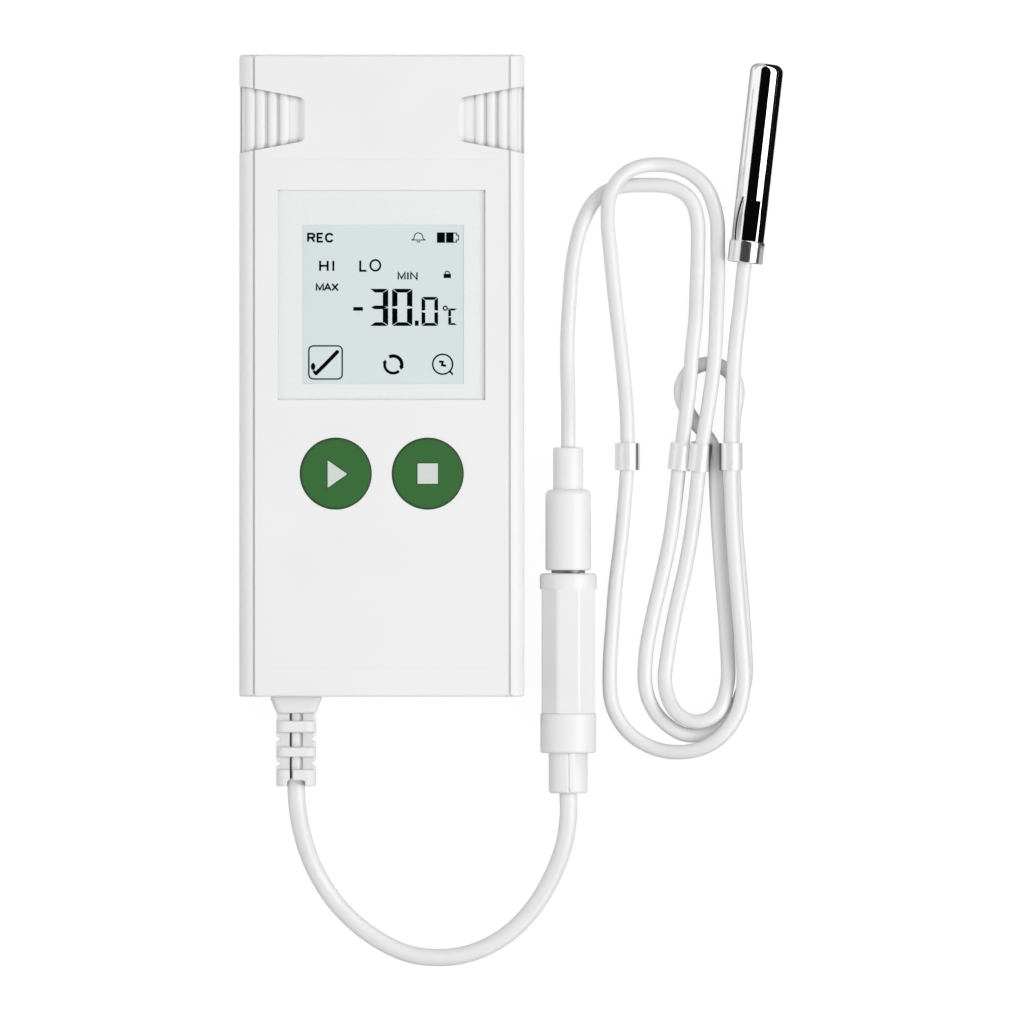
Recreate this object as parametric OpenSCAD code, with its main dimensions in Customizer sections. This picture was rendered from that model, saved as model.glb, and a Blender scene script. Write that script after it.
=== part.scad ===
// Temperature data logger with an inline jack connector and a wired probe.
// It lies on its back: +Z out of the face, +Y towards the grip end, and the origin
// is the centre of the back face.

/* [Case] */
// Width of the case
body_w = 43.1; // [42.6:0.1:45]
// Length of the case
body_l = 97; // [95:0.5:102]
// Thickness of the case
body_t = 12.6; // [12.4:0.1:13.4]
// Wall thickness of both covers
wall = 1.5; // [1.4:0.05:1.6]
// Radius of the rounded front shoulders
shoulder_r = 2.4; // [2.2:0.1:2.8]
// Radius of the back edges
back_edge_r = 2; // [1.8:0.1:2.4]
// Step between the flat front and the shoulders
face_step = 0.12; // [0.05:0.01:0.2]

/* [Finger grips] */
// Distance of the grips' middle from the case's upper end
grip_from_end = 9.8; // [9:0.1:10.3]
// Length of a grip at the case's edge
grip_outer_l = 10.2; // [8:0.1:10.6]
// Length of a grip at its inner end
grip_inner_l = 6.5; // [5:0.1:8]
// How far a grip reaches in from the case's side
grip_reach = 9.9; // [9:0.1:11]
// Depth of the rib crests under the surface
rib_crest = 0.43; // [0.3:0.01:0.5]
// Depth of the grip's floor under the surface
grip_floor = 0.9; // [0.75:0.05:0.95]
// Distance from rib to rib
rib_pitch = 1.75; // [1.6:0.05:1.85]

/* [Label and display] */
// Width of the label on each side of the window pane
label_side = 2.95; // [2.4:0.05:3.2]
// Distance of the label from the case's lower end
label_from_low_end = 4.3; // [3.5:0.1:8]
// Length of the label above the window pane
label_above = 4.6; // [3:0.1:5]
// Corner radius of the label
label_r = 2; // [1:0.1:3]
// Thickness of the label
label_t = 0.2; // [0.15:0.05:0.3]
// Width of the window pane
window_w = 31.2; // [30:0.1:32]
// Length of the window pane
window_l = 31.6; // [31:0.1:32]
// Distance of the window pane from the case's upper end
window_from_end = 20.5; // [20:0.1:21]
// Thickness of the window pane
window_t = 0.5; // [0.4:0.05:0.6]
// Width of the visible display
lcd_w = 24.4; // [22:0.1:25]
// Length of the visible display
lcd_l = 24.1; // [22:0.1:25]
// How far the visible display sits below the window's middle
lcd_drop = 1.4; // [0.8:0.1:1.8]

/* [Buttons] */
// Diameter of a button
button_d = 10.7; // [9:0.1:11.2]
// Distance between the buttons' middles
button_spacing = 13.9; // [13.6:0.1:15]
// Distance of the buttons' middles below the window pane
button_drop = 11.2; // [10.8:0.1:13]
// How far a button travels
button_travel = 0.3; // [0.2:0.05:0.35]
// How far a button stands over the label
button_proud = 0.2; // [0.1:0.05:0.3]

/* [Battery] */
// Diameter of the coin cell
cell_d = 24.5; // [23:0.1:24.5]
// Thickness of the coin cell
cell_t = 5; // [3.2:0.1:5]
// Distance of the battery cover's middle from the case's lower end
battery_from_end = 28.5; // [27.5:0.5:29.5]
// Radius of the battery cover
door_r = 14; // [14:0.1:14.4]
// How far the cover's lugs reach out
lug_reach = 1.2; // [0.9:0.1:1.3]

/* [Electronics] */
// Thickness of the circuit board
board_t = 0.8; // [0.6:0.1:0.9]
// Width of the data port
port_w = 8.9; // [7.5:0.1:9]
// Height of the data port
port_h = 3.2; // [3:0.1:3.3]
// Length of the data port
port_l = 7.3; // [5:0.1:8]

/* [Strain relief] */
// Distance of the strain relief's middle from the case's left side
relief_from_side = 8.55; // [8:0.05:10]
// Width of the slotted boot
relief_w = 6; // [5.7:0.1:6.4]
// Depth of the slotted boot
relief_d = 5.6; // [5.2:0.1:6]
// Length outside the case
relief_l = 13.6; // [13:0.1:14]
// Width of the collar against the case
collar_w = 7.75; // [7:0.05:8.5]
// Depth of the collar against the case
collar_d = 7; // [6.4:0.1:7.6]
// Length of the collar
collar_l = 2.5; // [2:0.1:2.6]

/* [Lead] */
// Diameter of the lead
lead_d = 2.65; // [2.4:0.05:2.7]

/* [Inline connector] */
// Diameter of the socket body
socket_d = 8.6; // [8:0.1:8.6]
// Length of the socket body
socket_l = 21.2; // [20.8:0.1:21.4]
// Diameter of the rear ring
ring_d = 8.45; // [7.8:0.05:8.6]
// Diameter of the socket's tail
tail_d = 5.9; // [5.4:0.1:6.2]
// Diameter of the plug body
plug_d = 6.9; // [6.4:0.1:7.4]
// Length of the plug's shoulder
plug_shoulder_l = 0.9; // [0.6:0.1:1.2]
// Diameter of the plug's cable sleeve
sleeve_d = 4.6; // [4.2:0.1:5]
// Diameter of the jack pin
pin_d = 3.5; // [3.3:0.1:3.6]
// Length of the jack pin
pin_l = 14; // [13.5:0.1:14.5]
// Diameter of the jack's collar
collar_disc_d = 5.1; // [4.6:0.1:5.6]

/* [Probe] */
// Diameter of the steel tube
probe_d = 5; // [4.9:0.1:5.2]
// Length of the probe with its ferrule
probe_l = 30.3; // [25:0.1:40]
// Diameter of the ferrule
ferrule_d = 5.34; // [5.32:0.01:5.5]
// Visible length of the ferrule
ferrule_l = 3.3; // [2.9:0.1:4]
// Wall of the steel tube
tube_wall = 0.3; // [0.2:0.05:0.3]
// Length of the crimp
crimp_l = 6.2; // [5.4:0.1:7]
// Diameter of the probe cable
cable_d = 2.2; // [2:0.05:2.2]

/* [Hidden] */
$fn = 48;

// Clearances, and the overrun that cuts share
run_gap = 0.1;
seat_gap = 0.05;
cut = 0.6;

// Levels through the case
half_w = body_w / 2;
half_l = body_l / 2;
window_y = half_l - window_from_end - window_l / 2;
lcd_y = window_y - lcd_drop;
label_w = window_w + 2 * label_side;
label_low_y = label_from_low_end - half_l;
label_high_y = window_y + window_l / 2 + label_above;
button_y = window_y - window_l / 2 - button_drop;
battery_y = battery_from_end - half_l;
grip_y = half_l - grip_from_end;
relief_x = relief_from_side - half_w;
split_z = body_t / 2;
ceiling_z = body_t - wall;
floor_z = wall;
shoulder_z = body_t - face_step - shoulder_r;
label_low_z = body_t - label_t;
window_recess = 0.05;
window_top_z = body_t - window_recess;
window_seat_z = window_top_z - window_t;
board_low_z = split_z + port_h / 2;
board_top_z = board_low_z + board_t;
crease_x = half_w - shoulder_r;
crease_r = 0.16;

// Grips: the ribs stand along the front, round the shoulder and down the side
rib_r = 0.88;
rib_inset = rib_crest + rib_r;
rib_arc_angles = [30, 90];
flat_ribs = 3;
side_ribs = 4;
grip_corner_r = 0.9;
grip_wall_lean = 0.8;
grip_inner_x = half_w - grip_reach;
grip_slope = (grip_outer_l - grip_inner_l) / 2 / grip_reach;

// Seal and the two ledges that hold it at the parting line
seal_w = 0.7;
seal_t = 0.6;
ledge_t = 0.6;
seal_inner_x = half_w - wall - seal_w;
seal_inner_y = half_l - wall - seal_w;
seal_side_gap = 0.6;

// Screws, with posts in the rear cover and bosses in the front cover
screw_post_r = 2.4;
screw_boss_r = 2.2;
screw_clear = 0.15;
screw_r = 1;
pilot_r = 0.85;
pilot_l = 4;
head_r = 1.9;
head_t = 1.3;
head_depth = 1.9;
screw_x = seal_inner_x - screw_clear - screw_post_r;
screw_high_y = seal_inner_y - screw_clear - screw_post_r;
screw_low_from_end = 14.5;
screw_low_y = screw_low_from_end - half_l;
screw_places = [
    [-screw_x, screw_high_y], [screw_x, screw_high_y],
    [-screw_x, screw_low_y], [screw_x, screw_low_y]
];
recess_w = 0.5;

// Display parts
view_margin = 1;
glass_margin = 1.5;
glass_ledge = 2.4;
glass_t = 1;
polariser_t = 0.15;
glass_w = lcd_w + 2 * glass_margin;
glass_high_y = lcd_y + lcd_l / 2 + glass_margin;
glass_low_y = lcd_y - lcd_l / 2 - glass_margin - glass_ledge;
glass_top_z = ceiling_z - seat_gap - polariser_t;
glass_split_z = glass_top_z - glass_t;
glass_low_z = glass_split_z - glass_t;
frame_gap = 0.15;
frame_wall = 1.2;
strip_w = 1.7;

// Buttons
button_edge_r = 0.3;
button_flange_reach = 0.9;
button_flange_t = 0.8;
plunger_r = 1.5;
dome_r = 4;
dome_h = 0.35;
dome_flat_r = 1.6;
dome_top_z = board_top_z + dome_h;
flange_top_z = ceiling_z - seat_gap;
flange_low_z = flange_top_z - button_flange_t;
plunger_low_z = dome_top_z + button_travel + seat_gap;

// Battery cover, turned with a coin and held by three lugs
door_recess = 0.1;
door_plate_t = 1.6;
lug_t = 0.75;
lug_count = 3;
lug_angle = 30;
lug_turn = 45;
notch_play = 4;
skirt_t = 0.65;
skirt_h = 1;
slot_w = 1.7;
slot_l = 13;
slot_depth = 0.9;
door_inner_z = door_recess + door_plate_t;
lug_low_z = floor_z + seat_gap;
lug_high_z = lug_low_z + lug_t;
skirt_inner_r = cell_d / 2 + 2 * run_gap;
skirt_outer_r = skirt_inner_r + skirt_t;
seal_ring_r = 0.45;
seal_ring_mid_r = skirt_outer_r + seat_gap + seal_ring_r;
well_step_z = lug_high_z + 2 * seal_ring_r + seat_gap;
well_low_r = door_r + lug_reach + 2 * run_gap;
well_high_r = skirt_outer_r + 2 * run_gap;
well_wall = 1;
well_plate_t = 0.75;
cell_low_z = door_inner_z + seat_gap;
cell_edge_r = 0.5;
cell_cap_t = 0.5;
cell_cap_inset = 1.4;
cell_top_z = cell_low_z + cell_t;
well_top_z = cell_top_z - cell_cap_t;

// Contacts of the cell
spring_t = 0.2;
spring_w = 3;
spring_l = 9;
tab_w = 4;
tab_low_z = well_step_z + cell_edge_r;

// Board, its parts and the board's supports
board_side_gap = 0.25;
board_half_w = seal_inner_x - board_side_gap;
board_low_from_end = 5.5;
board_low_y = board_low_from_end - half_l;
board_high_y = seal_inner_y;
board_hole_r = 2.5;
support_w = 1.3;
support_l = 3;
// Places of the supports, as shares of half the case's length
support_shares = [-0.16, 0.08, 0.45];
port_shell = 0.3;
port_back = 0.6;
port_tongue_t = 0.7;
port_tongue_w_share = 0.72;
port_slot_gap = 0.15;
port_front_y = half_l - port_slot_gap;
chip_from_end = 13.5;
chip_high_y = half_l - chip_from_end;
mcu_size = [7, 7, 0.9];
mcu_x = 9;
memory_size = [5, 4, 0.8];
memory_x = -7;
crystal_size = [3.2, 1.5, 0.7];
crystal_x = 1;
header_w = 5.2;
header_l = 3.5;
header_h = 3;
core_r = 0.35;
core_spread = 0.8;

// Strain relief, from the case's end wall outwards
relief_neck_w = 5;
relief_neck_d = 4.6;
relief_flange_w = 7.2;
relief_flange_d = 6.4;
relief_flange_l = 1.4;
relief_corner_r = 1.5;
relief_collar_r = 1;
relief_thin_slab = 0.3;
relief_window_depth = 1.1;
relief_slot_w = 1.95;
relief_slit_w = 0.42;
relief_slit_x = -0.74;
relief_notch_depth = 0.9;
relief_notch_h = 0.33;
relief_end_y = -half_l - relief_l;
relief_throat_w = 5.7;
relief_throat_l = 1;
// Open windows along the boot, as shares of the length outside the case
relief_window_shares = [[0.185, 0.273], [0.40, 0.566], [0.672, 0.816]];
relief_notch_shares = [0.478, 0.751];
relief_last_bar_share = 0.934;
lead_clear = 0.05;
lead_bore_r = lead_d / 2 + lead_clear;

// Places of the connector and of the cords' ends, which follow the cords' points
connector_x = 28.2;
connector_z = 4.3;
socket_face_y = -29.9;
tail_end_y = -63.2;
plug_sleeve_end_y = -10.8;
plug_shoulder_y = -17.15;
lead_start_from_end = 3.5;
lead_start_y = lead_start_from_end - half_l;
lead_end_y = -58.2;
cable_start_y = -14.8;

// Inline connector
socket_round = 0.5;
socket_flat_depth = 0.27;
socket_flat_start = 2.35;
ring_round = 0.35;
ring_l = 6;
tail_round = 0.5;
tail_neck_r = 2;
tail_groove_r = 0.22;
barrel_r = 2.6;
barrel_l = 4;
socket_cavity_r = 2.85;
socket_base_l = 2.4;
socket_cavity_end = 16.6;
spring_leaf_t = 0.25;
spring_leaf_w = 1.6;
plug_round = 0.4;
collar_disc_t = 0.42;
jack_stem_l = 3;
sleeve_neck_r = 1.6;
sleeve_neck_l = 2;
sleeve_round = 0.35;
// Shares of the jack pin's length that are its sleeve and its insulating ring
jack_sleeve_share = 0.66;
jack_insulator_share = 0.06;
// Outline of the pin's tip: shares of the tip's length and of the pin's radius
jack_tip_shares = [[0, 1], [0.18, 1], [0.42, 0.72], [0.62, 0.95], [0.9, 0.5], [1, 0.28]];
pin_clear = 0.05;

// Probe, in a frame of its own: s runs from the ferrule's end to the tip
probe_z = ferrule_d / 2;
probe_place = [55, 17.2, probe_z];
probe_turn = -6.5;
tip_round = 1.2;
crimp_flat_share = 0.932;
crimp_turn = 11;
crimp_squeeze = 0.04;
ferrule_neck_l = 5;
ferrule_round = 0.2;
cable_in_ferrule = 2.6;
cable_clear = 0.05;
cable_bore_r = cable_d / 2 + cable_clear;
bead_r = 0.7;
bead_from_tip = 2.8;
potting_gap = 0.05;

// Sleeves on the hank
clip_l = 4.1;
clip_y = -12.2;
clip_1_r = 1.9;
clip_2_r = 1.7;
clip_3_r = 1.8;
clip_1_at = [37.2, 1.9];
clip_2_at = [45.2, 1.7];
clip_2_over = [48.2, 3];
clip_3_at = [52.8, 4.1];
clip_2_turn = -7;
clip_2_tilt = 8;

// Route of the lead, from inside the strain relief to inside the socket's tail. It was
// drawn for a boot that ends at this place, and follows the boot when the case grows.
drawn_relief_end_y = -62.1;
lead_drop = relief_end_y - drawn_relief_end_y;
function dropped(point, share) = point + [0, lead_drop * share, 0];
lead_points = [
    [relief_x, lead_start_y, split_z], [relief_x, lead_start_y - 5, split_z],
    [relief_x, relief_end_y + 6.1, split_z], [relief_x, relief_end_y + 0.1, split_z],
    dropped([-12.8, -65.5, 5.9], 1), dropped([-12.1, -69.4, 4.7], 1),
    dropped([-10.9, -73.2, 3.1], 1), dropped([-9.2, -76.7, 1.8], 1),
    dropped([-6.7, -80.3, 1.35], 1), dropped([-3.2, -83.7, 1.35], 1),
    dropped([0.6, -86.2, 1.35], 1), dropped([4.2, -87.7, 1.35], 1), dropped([8, -88.2, 1.35], 1),
    dropped([11.9, -87.9, 1.35], 1), dropped([16, -86.5, 1.35], 1),
    dropped([19.8, -84, 1.35], 0.8), dropped([23.2, -80.3, 1.6], 0.6),
    dropped([25.8, -75.8, 2.4], 0.4), dropped([27.5, -71.3, 3.5], 0.2),
    [28.2, -67, 4.2], [28.2, -63.2, 4.3], [28.2, -58.2, 4.3]
];

// Route of the probe cable, from inside the plug's sleeve to inside the ferrule.
// It goes up, over the top, down, round the bottom and up again, turns in a small
// loop under three strands, and runs the same way back to the probe.
cable_points = [
    [28.2, -14.8, 4.3], [28.2, -10.8, 4.3], [28.2, -8.4, 4.3], [28.2, -4.1, 3.0],
    [28.1, 0.6, 1.4], [28.1, 5.7, 1.1], [28.4, 11.4, 1.1], [29.0, 17.8, 1.1],
    [30.3, 23.1, 1.1], [32.5, 26.9, 1.1], [35.7, 28.7, 1.1], [39.9, 29.0, 1.1],
    [43.9, 28.7, 1.1], [46.7, 26.9, 1.1], [47.8, 23.7, 1.1], [47.9, 19.0, 1.1],
    [47.7, 13.4, 2.2], [47.5, 8.7, 3.7], [47.0, 3.9, 3.8], [46.6, -1.3, 3.7],
    [46.15, -5.2, 3.9], [45.7, -8.7, 3.0], [45.2, -12.3, 1.7], [44.5, -18.5, 1.1],
    [43.7, -24.5, 1.1],
    [42.4, -30.6, 1.1], [41.0, -36.6, 1.1], [40.0, -42.2, 1.1], [40.0, -47.5, 1.1],
    [41.9, -51.6, 1.1], [45.7, -54.3, 1.1], [49.7, -53.9, 1.1], [53.1, -51.0, 1.1],
    [55.0, -46.4, 1.1], [55.0, -40.7, 1.1], [54.6, -34.8, 1.1], [54.1, -28.8, 1.1],
    [53.6, -22.7, 1.1], [53.4, -17.3, 1.1], [53.2, -12.3, 1.1], [53.2, -9.2, 1.1],
    [53.4, -6.0, 1.1], [53.88, -2.77, 1.1], [53.52, -0.63, 1.1], [52.15, 1.06, 1.1],
    [50.13, 1.87, 1.1], [47.98, 1.58, 1.1], [46.24, 0.28, 1.1], [45.36, -1.71, 1.1],
    [45.6, -3.85, 1.1], [47.1, -6.5, 1.1], [48.8, -8.55, 1.1], [50.1, -10.7, 1.1],
    [50.55, -13.8, 1.1], [50.7, -17.1, 1.1], [51.0, -23.0, 1.1], [51.4, -28.8, 1.1],
    [51.9, -34.8, 1.1], [52.3, -40.7, 1.1], [52.4, -46.3, 2.0], [51.0, -50.8, 3.4],
    [47.7, -52.4, 3.6], [44.4, -50.8, 3.1], [42.9, -46.6, 1.4], [43.5, -41.0, 1.1],
    [44.6, -35.1, 1.1], [45.9, -29.4, 1.1], [46.9, -23.9, 1.1], [47.6, -18.2, 2.1],
    [48.2, -12.3, 3.0], [48.8, -8.6, 3.8], [50.0, -0.8, 3.8], [50.5, 4.5, 3.8],
    [50.7, 9.6, 3.7], [50.9, 14.5, 2.4], [50.9, 19.3, 1.2], [50.7, 24.3, 1.1],
    [49.0, 28.8, 1.1], [45.4, 31.5, 1.1], [41.0, 32.1, 1.4], [37.1, 30.9, 3.1],
    [34.7, 27.9, 3.8], [34.2, 23.8, 2.6], [34.6, 19.0, 1.1], [35.2, 12.9, 1.1],
    [35.9, 6.8, 1.1], [36.6, 0.4, 1.1], [37.1, -5.8, 1.6], [37.2, -12.3, 1.9],
    [36.8, -18.6, 1.6], [36.2, -25.1, 1.1], [35.4, -31.6, 1.1], [34.9, -38.1, 1.1],
    [34.5, -44.6, 1.1], [34.9, -49.9, 1.1], [37.4, -54.1, 1.1], [41.7, -56.6, 1.5],
    [46.6, -56.9, 3.0], [50.8, -55.1, 3.8], [53.7, -51.4, 3.8], [54.8, -46.6, 3.8],
    [54.5, -40.8, 3.8], [54.0, -34.8, 3.8], [53.5, -28.8, 3.8], [53.1, -22.7, 3.8],
    [52.9, -17.3, 4.0], [52.8, -12.3, 4.1], [52.9, -7.3, 4.0], [53.1, -2.2, 3.8],
    [53.4, 2.7, 3.8], [53.8, 6.9, 3.8], [54.3, 10.8, 3.5], [54.7, 14.9, probe_z],
    [55.0, 17.2, probe_z], [55.3, 19.8, probe_z]
];
lead_sides = 8;
cable_sides = 6;
steps_between_points = 2;
steps_for_gap = 4;
// Rings along the route that lie too near each other to count as a gap
gap_skip = 12;

pale = [0.93, 0.93, 0.93];
soft_pale = [0.86, 0.86, 0.86];
steel = [0.75, 0.76, 0.78];
gold = [0.85, 0.7, 0.35];
green = [0.23, 0.43, 0.23];

// Point at share t between points k and k + 1 of a smooth route, never lower than both
function toward(from, to, distance) = from + (to - from) * distance / norm(to - from);
function round_corner(before, here, after, r, steps = 4) =
    let (start = toward(here, before, r), end = toward(here, after, r))
    [for (k = [0:steps]) let (t = k / steps)
        start * pow(1 - t, 2) + here * 2 * t * (1 - t) + end * pow(t, 2)];
function smooth_point(p, k, t) =
    let (
        b = p[k],
        c = p[k + 1],
        a = k > 0 ? p[k - 1] : 2 * b - c,
        d = k + 2 < len(p) ? p[k + 2] : 2 * c - b,
        q = (2 * b + (c - a) * t + (2 * a - 5 * b + 4 * c - d) * t * t
            + (3 * b - a - 3 * c + d) * t * t * t) / 2
    )
    [q[0], q[1], max(q[2], min(b[2], c[2]))];

function smooth_route(p, steps) = concat(
    [for (k = [0:len(p) - 2], i = [0:steps - 1]) smooth_point(p, k, i / steps)],
    [p[len(p) - 1]]
);

function route_heading(q, i) =
    let (v = q[min(i + 1, len(q) - 1)] - q[max(i - 1, 0)])
    v / norm(v);

function route_ring(q, i, r, sides) =
    let (
        ahead = route_heading(q, i),
        across = cross(ahead, [0, 0, 1]) / norm(cross(ahead, [0, 0, 1])),
        up = cross(across, ahead)
    )
    [for (k = [0:sides - 1])
        let (a = 360 * (k + 0.5) / sides)
        q[i] + r * cos(a) * across + r * sin(a) * up];

function least_distance(q, skip) = min([
    for (i = [0:len(q) - 1 - skip], j = [i + skip:len(q) - 1]) norm(q[i] - q[j])
]);

module swept_cord(points, r, sides) {
    q = smooth_route(points, steps_between_points);
    last = (len(q) - 1) * sides;
    polyhedron(
        points = [for (i = [0:len(q) - 1]) each route_ring(q, i, r, sides)],
        faces = concat(
            [for (k = [1:sides - 2]) [0, k, k + 1]],
            [for (k = [1:sides - 2]) [last, last + k + 1, last + k]],
            [for (i = [0:len(q) - 2], k = [0:sides - 1])
                let (a = i * sides, b = a + sides, n = (k + 1) % sides)
                each [[a + k, b + k, b + n], [a + k, b + n, a + n]]]
        )
    );
}

// Extrudes an outline drawn in X and Z between two places along Y
module along_y(y0, y1) {
    translate([0, y1, 0]) rotate([90, 0, 0]) linear_extrude(y1 - y0) children();
}

// Extrudes an outline drawn in X and Y between two heights
module along_z(z0, z1) {
    translate([0, 0, z0]) linear_extrude(z1 - z0) children();
}

// Turns an outline of radius and place about an axis along +Y
module turned_y(x, z) {
    translate([x, 0, z]) rotate([-90, 0, 0]) rotate_extrude() children();
}

module both_sides() {
    children();
    mirror([1, 0, 0]) children();
}

module round_rect(w, l, r) {
    square([w - 2 * r, l], center = true);
    square([w, l - 2 * r], center = true);
    for (x = [-1, 1], y = [-1, 1])
        translate([x * (w / 2 - r), y * (l / 2 - r)]) circle(r);
}

module obround(w, h) {
    square([w - h, h], center = true);
    for (x = [-1, 1]) translate([x * (w - h) / 2, 0]) circle(h / 2);
}

// Outline of a turned bar from s0 to s1 with rounded outer ends
module bar_outline(r, s0, s1, round0 = 0, round1 = 0) {
    translate([0, s0 + round0]) square([r, s1 - s0 - round0 - round1]);
    translate([0, s0]) square([r - max(round0, round1), s1 - s0]);
    if (round0 > 0) translate([r - round0, s0 + round0]) circle(round0);
    if (round1 > 0) translate([r - round1, s1 - round1]) circle(round1);
}

// Outline of the case in X and Z, set in from its surface by inset
module case_outline(inset = 0) {
    translate([-crease_x, split_z]) square([2 * crease_x, body_t - inset - split_z]);
    translate([inset - half_w, back_edge_r])
        square([2 * (half_w - inset), shoulder_z - back_edge_r]);
    translate([back_edge_r - half_w, inset])
        square([2 * (half_w - back_edge_r), split_z - inset]);
    for (s = [-1, 1]) {
        translate([s * crease_x, shoulder_z]) circle(shoulder_r - inset);
        translate([s * (half_w - back_edge_r), back_edge_r]) circle(back_edge_r - inset);
    }
}

module front_half_outline() {
    translate([-body_w, split_z]) square([2 * body_w, body_t]);
}

module back_half_outline() {
    translate([-body_w, split_z - body_t]) square([2 * body_w, body_t]);
}

// Outline of both grips in X and Y
module grip_outline() {
    outer = grip_outer_l / 2 + cut * grip_slope;
    low = [grip_inner_x, -grip_inner_l / 2];
    high = [grip_inner_x, grip_inner_l / 2];
    low_end = [half_w + cut, -outer];
    high_end = [half_w + cut, outer];
    both_sides() translate([0, grip_y]) polygon(concat(
        [low_end, high_end],
        round_corner(high_end, high, low, grip_corner_r),
        round_corner(high, low, low_end, grip_corner_r)
    ));
}

// Cross-section of the room in front of a grip's leaning end wall
module grip_room_outline() both_sides() polygon([
    [grip_inner_x, body_t + cut], [half_w + 2 * cut, body_t + cut], [half_w + 2 * cut, 0],
    [grip_inner_x + grip_wall_lean, 0],
    [grip_inner_x + grip_wall_lean, body_t - grip_floor], [grip_inner_x, body_t]
]);

module grip_pockets() {
    intersection() {
        along_z(back_edge_r, body_t + cut) grip_outline();
        along_y(grip_y - grip_outer_l, grip_y + grip_outer_l) difference() {
            case_outline(-cut);
            case_outline(grip_floor);
        }
        along_y(grip_y - grip_outer_l, grip_y + grip_outer_l) grip_room_outline();
    }
}

module grip_ribs() {
    arc_r = shoulder_r - rib_inset;
    places = concat(
        [for (k = [0:flat_ribs - 1]) [crease_x - rib_pitch * (k + 0.5), body_t - rib_inset]],
        [for (a = rib_arc_angles) [crease_x + arc_r * sin(a), shoulder_z + arc_r * cos(a)]],
        [for (k = [1:side_ribs]) [half_w - rib_inset, shoulder_z - rib_pitch * k]]
    );
    intersection() {
        along_z(back_edge_r, body_t) grip_outline();
        along_y(grip_y - grip_outer_l, grip_y + grip_outer_l)
            both_sides() for (p = places) translate(p) circle(rib_r);
    }
}

// Outline in X and Y of the ring that the seal and its ledges fill
module seal_outline(reach = 0) {
    difference() {
        square([2 * (half_w - wall + reach), 2 * (half_l - wall + reach)], center = true);
        square([2 * seal_inner_x, 2 * seal_inner_y], center = true);
        translate([0, half_l])
            square([port_w + 4 * seal_side_gap, 4 * wall + 2 * seal_w], center = true);
        translate([relief_x, -half_l])
            square([relief_flange_w + 2 * seal_side_gap, 4 * wall + 2 * seal_w], center = true);
    }
}

module end_openings() {
    along_y(half_l - wall - cut, half_l + cut) translate([0, split_z])
        obround(port_w + 2 * port_slot_gap, port_h + 2 * port_slot_gap);
    along_y(-half_l - cut, -half_l + wall + cut) translate([relief_x, split_z])
        square([relief_neck_w + 2 * seat_gap, relief_neck_d + 2 * seat_gap], center = true);
}

module label_outline(grow = 0) {
    translate([0, (label_low_y + label_high_y) / 2])
        round_rect(label_w + 2 * grow, label_high_y - label_low_y + 2 * grow, label_r + grow);
}

module button_places() {
    for (s = [-1, 1]) translate([s * button_spacing / 2, button_y]) children();
}

module front_cover() color(pale) {
    difference() {
        union() {
            difference() {
                along_y(-half_l, half_l) difference() {
                    intersection() {
                        case_outline();
                        front_half_outline();
                    }
                    for (s = [-1, 1])
                        translate([s * (crease_x + crease_r), body_t - face_step])
                            circle(crease_r);
                }
                grip_pockets();
            }
            intersection() {
                grip_ribs();
                along_z(split_z, body_t) square(2 * body_l, center = true);
            }
        }
        along_y(-half_l + wall, half_l - wall) case_outline(wall);
        along_z(label_low_z, body_t + cut) label_outline(seat_gap);
        along_z(window_seat_z, body_t + cut) translate([0, window_y])
            square([window_w + 2 * seat_gap, window_l + 2 * seat_gap], center = true);
        along_z(ceiling_z - cut, body_t) translate([0, lcd_y])
            square([lcd_w + 2 * view_margin, lcd_l + 2 * view_margin], center = true);
        button_places() translate([0, 0, ceiling_z - cut])
            cylinder(h = wall + 2 * cut, r = button_d / 2 + run_gap);
        end_openings();
    }
    along_z(split_z + seal_t / 2, split_z + seal_t / 2 + ledge_t) seal_outline(wall / 2);
    difference() {
        for (p = screw_places) translate([p[0], p[1], split_z])
            cylinder(h = ceiling_z - split_z + wall / 4, r = screw_boss_r);
        for (p = screw_places) translate([p[0], p[1], split_z - cut])
            cylinder(h = pilot_l + cut, r = pilot_r);
    }
}

module lug_outline(r, angle, at) {
    reach = 2 * r;
    intersection() {
        circle(r);
        for (k = [0:lug_count - 1]) rotate(at + 360 * k / lug_count) polygon([
            [0, 0],
            [reach * cos(angle / 2), -reach * sin(angle / 2)],
            [reach * cos(angle / 2), reach * sin(angle / 2)]
        ]);
    }
}

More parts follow.
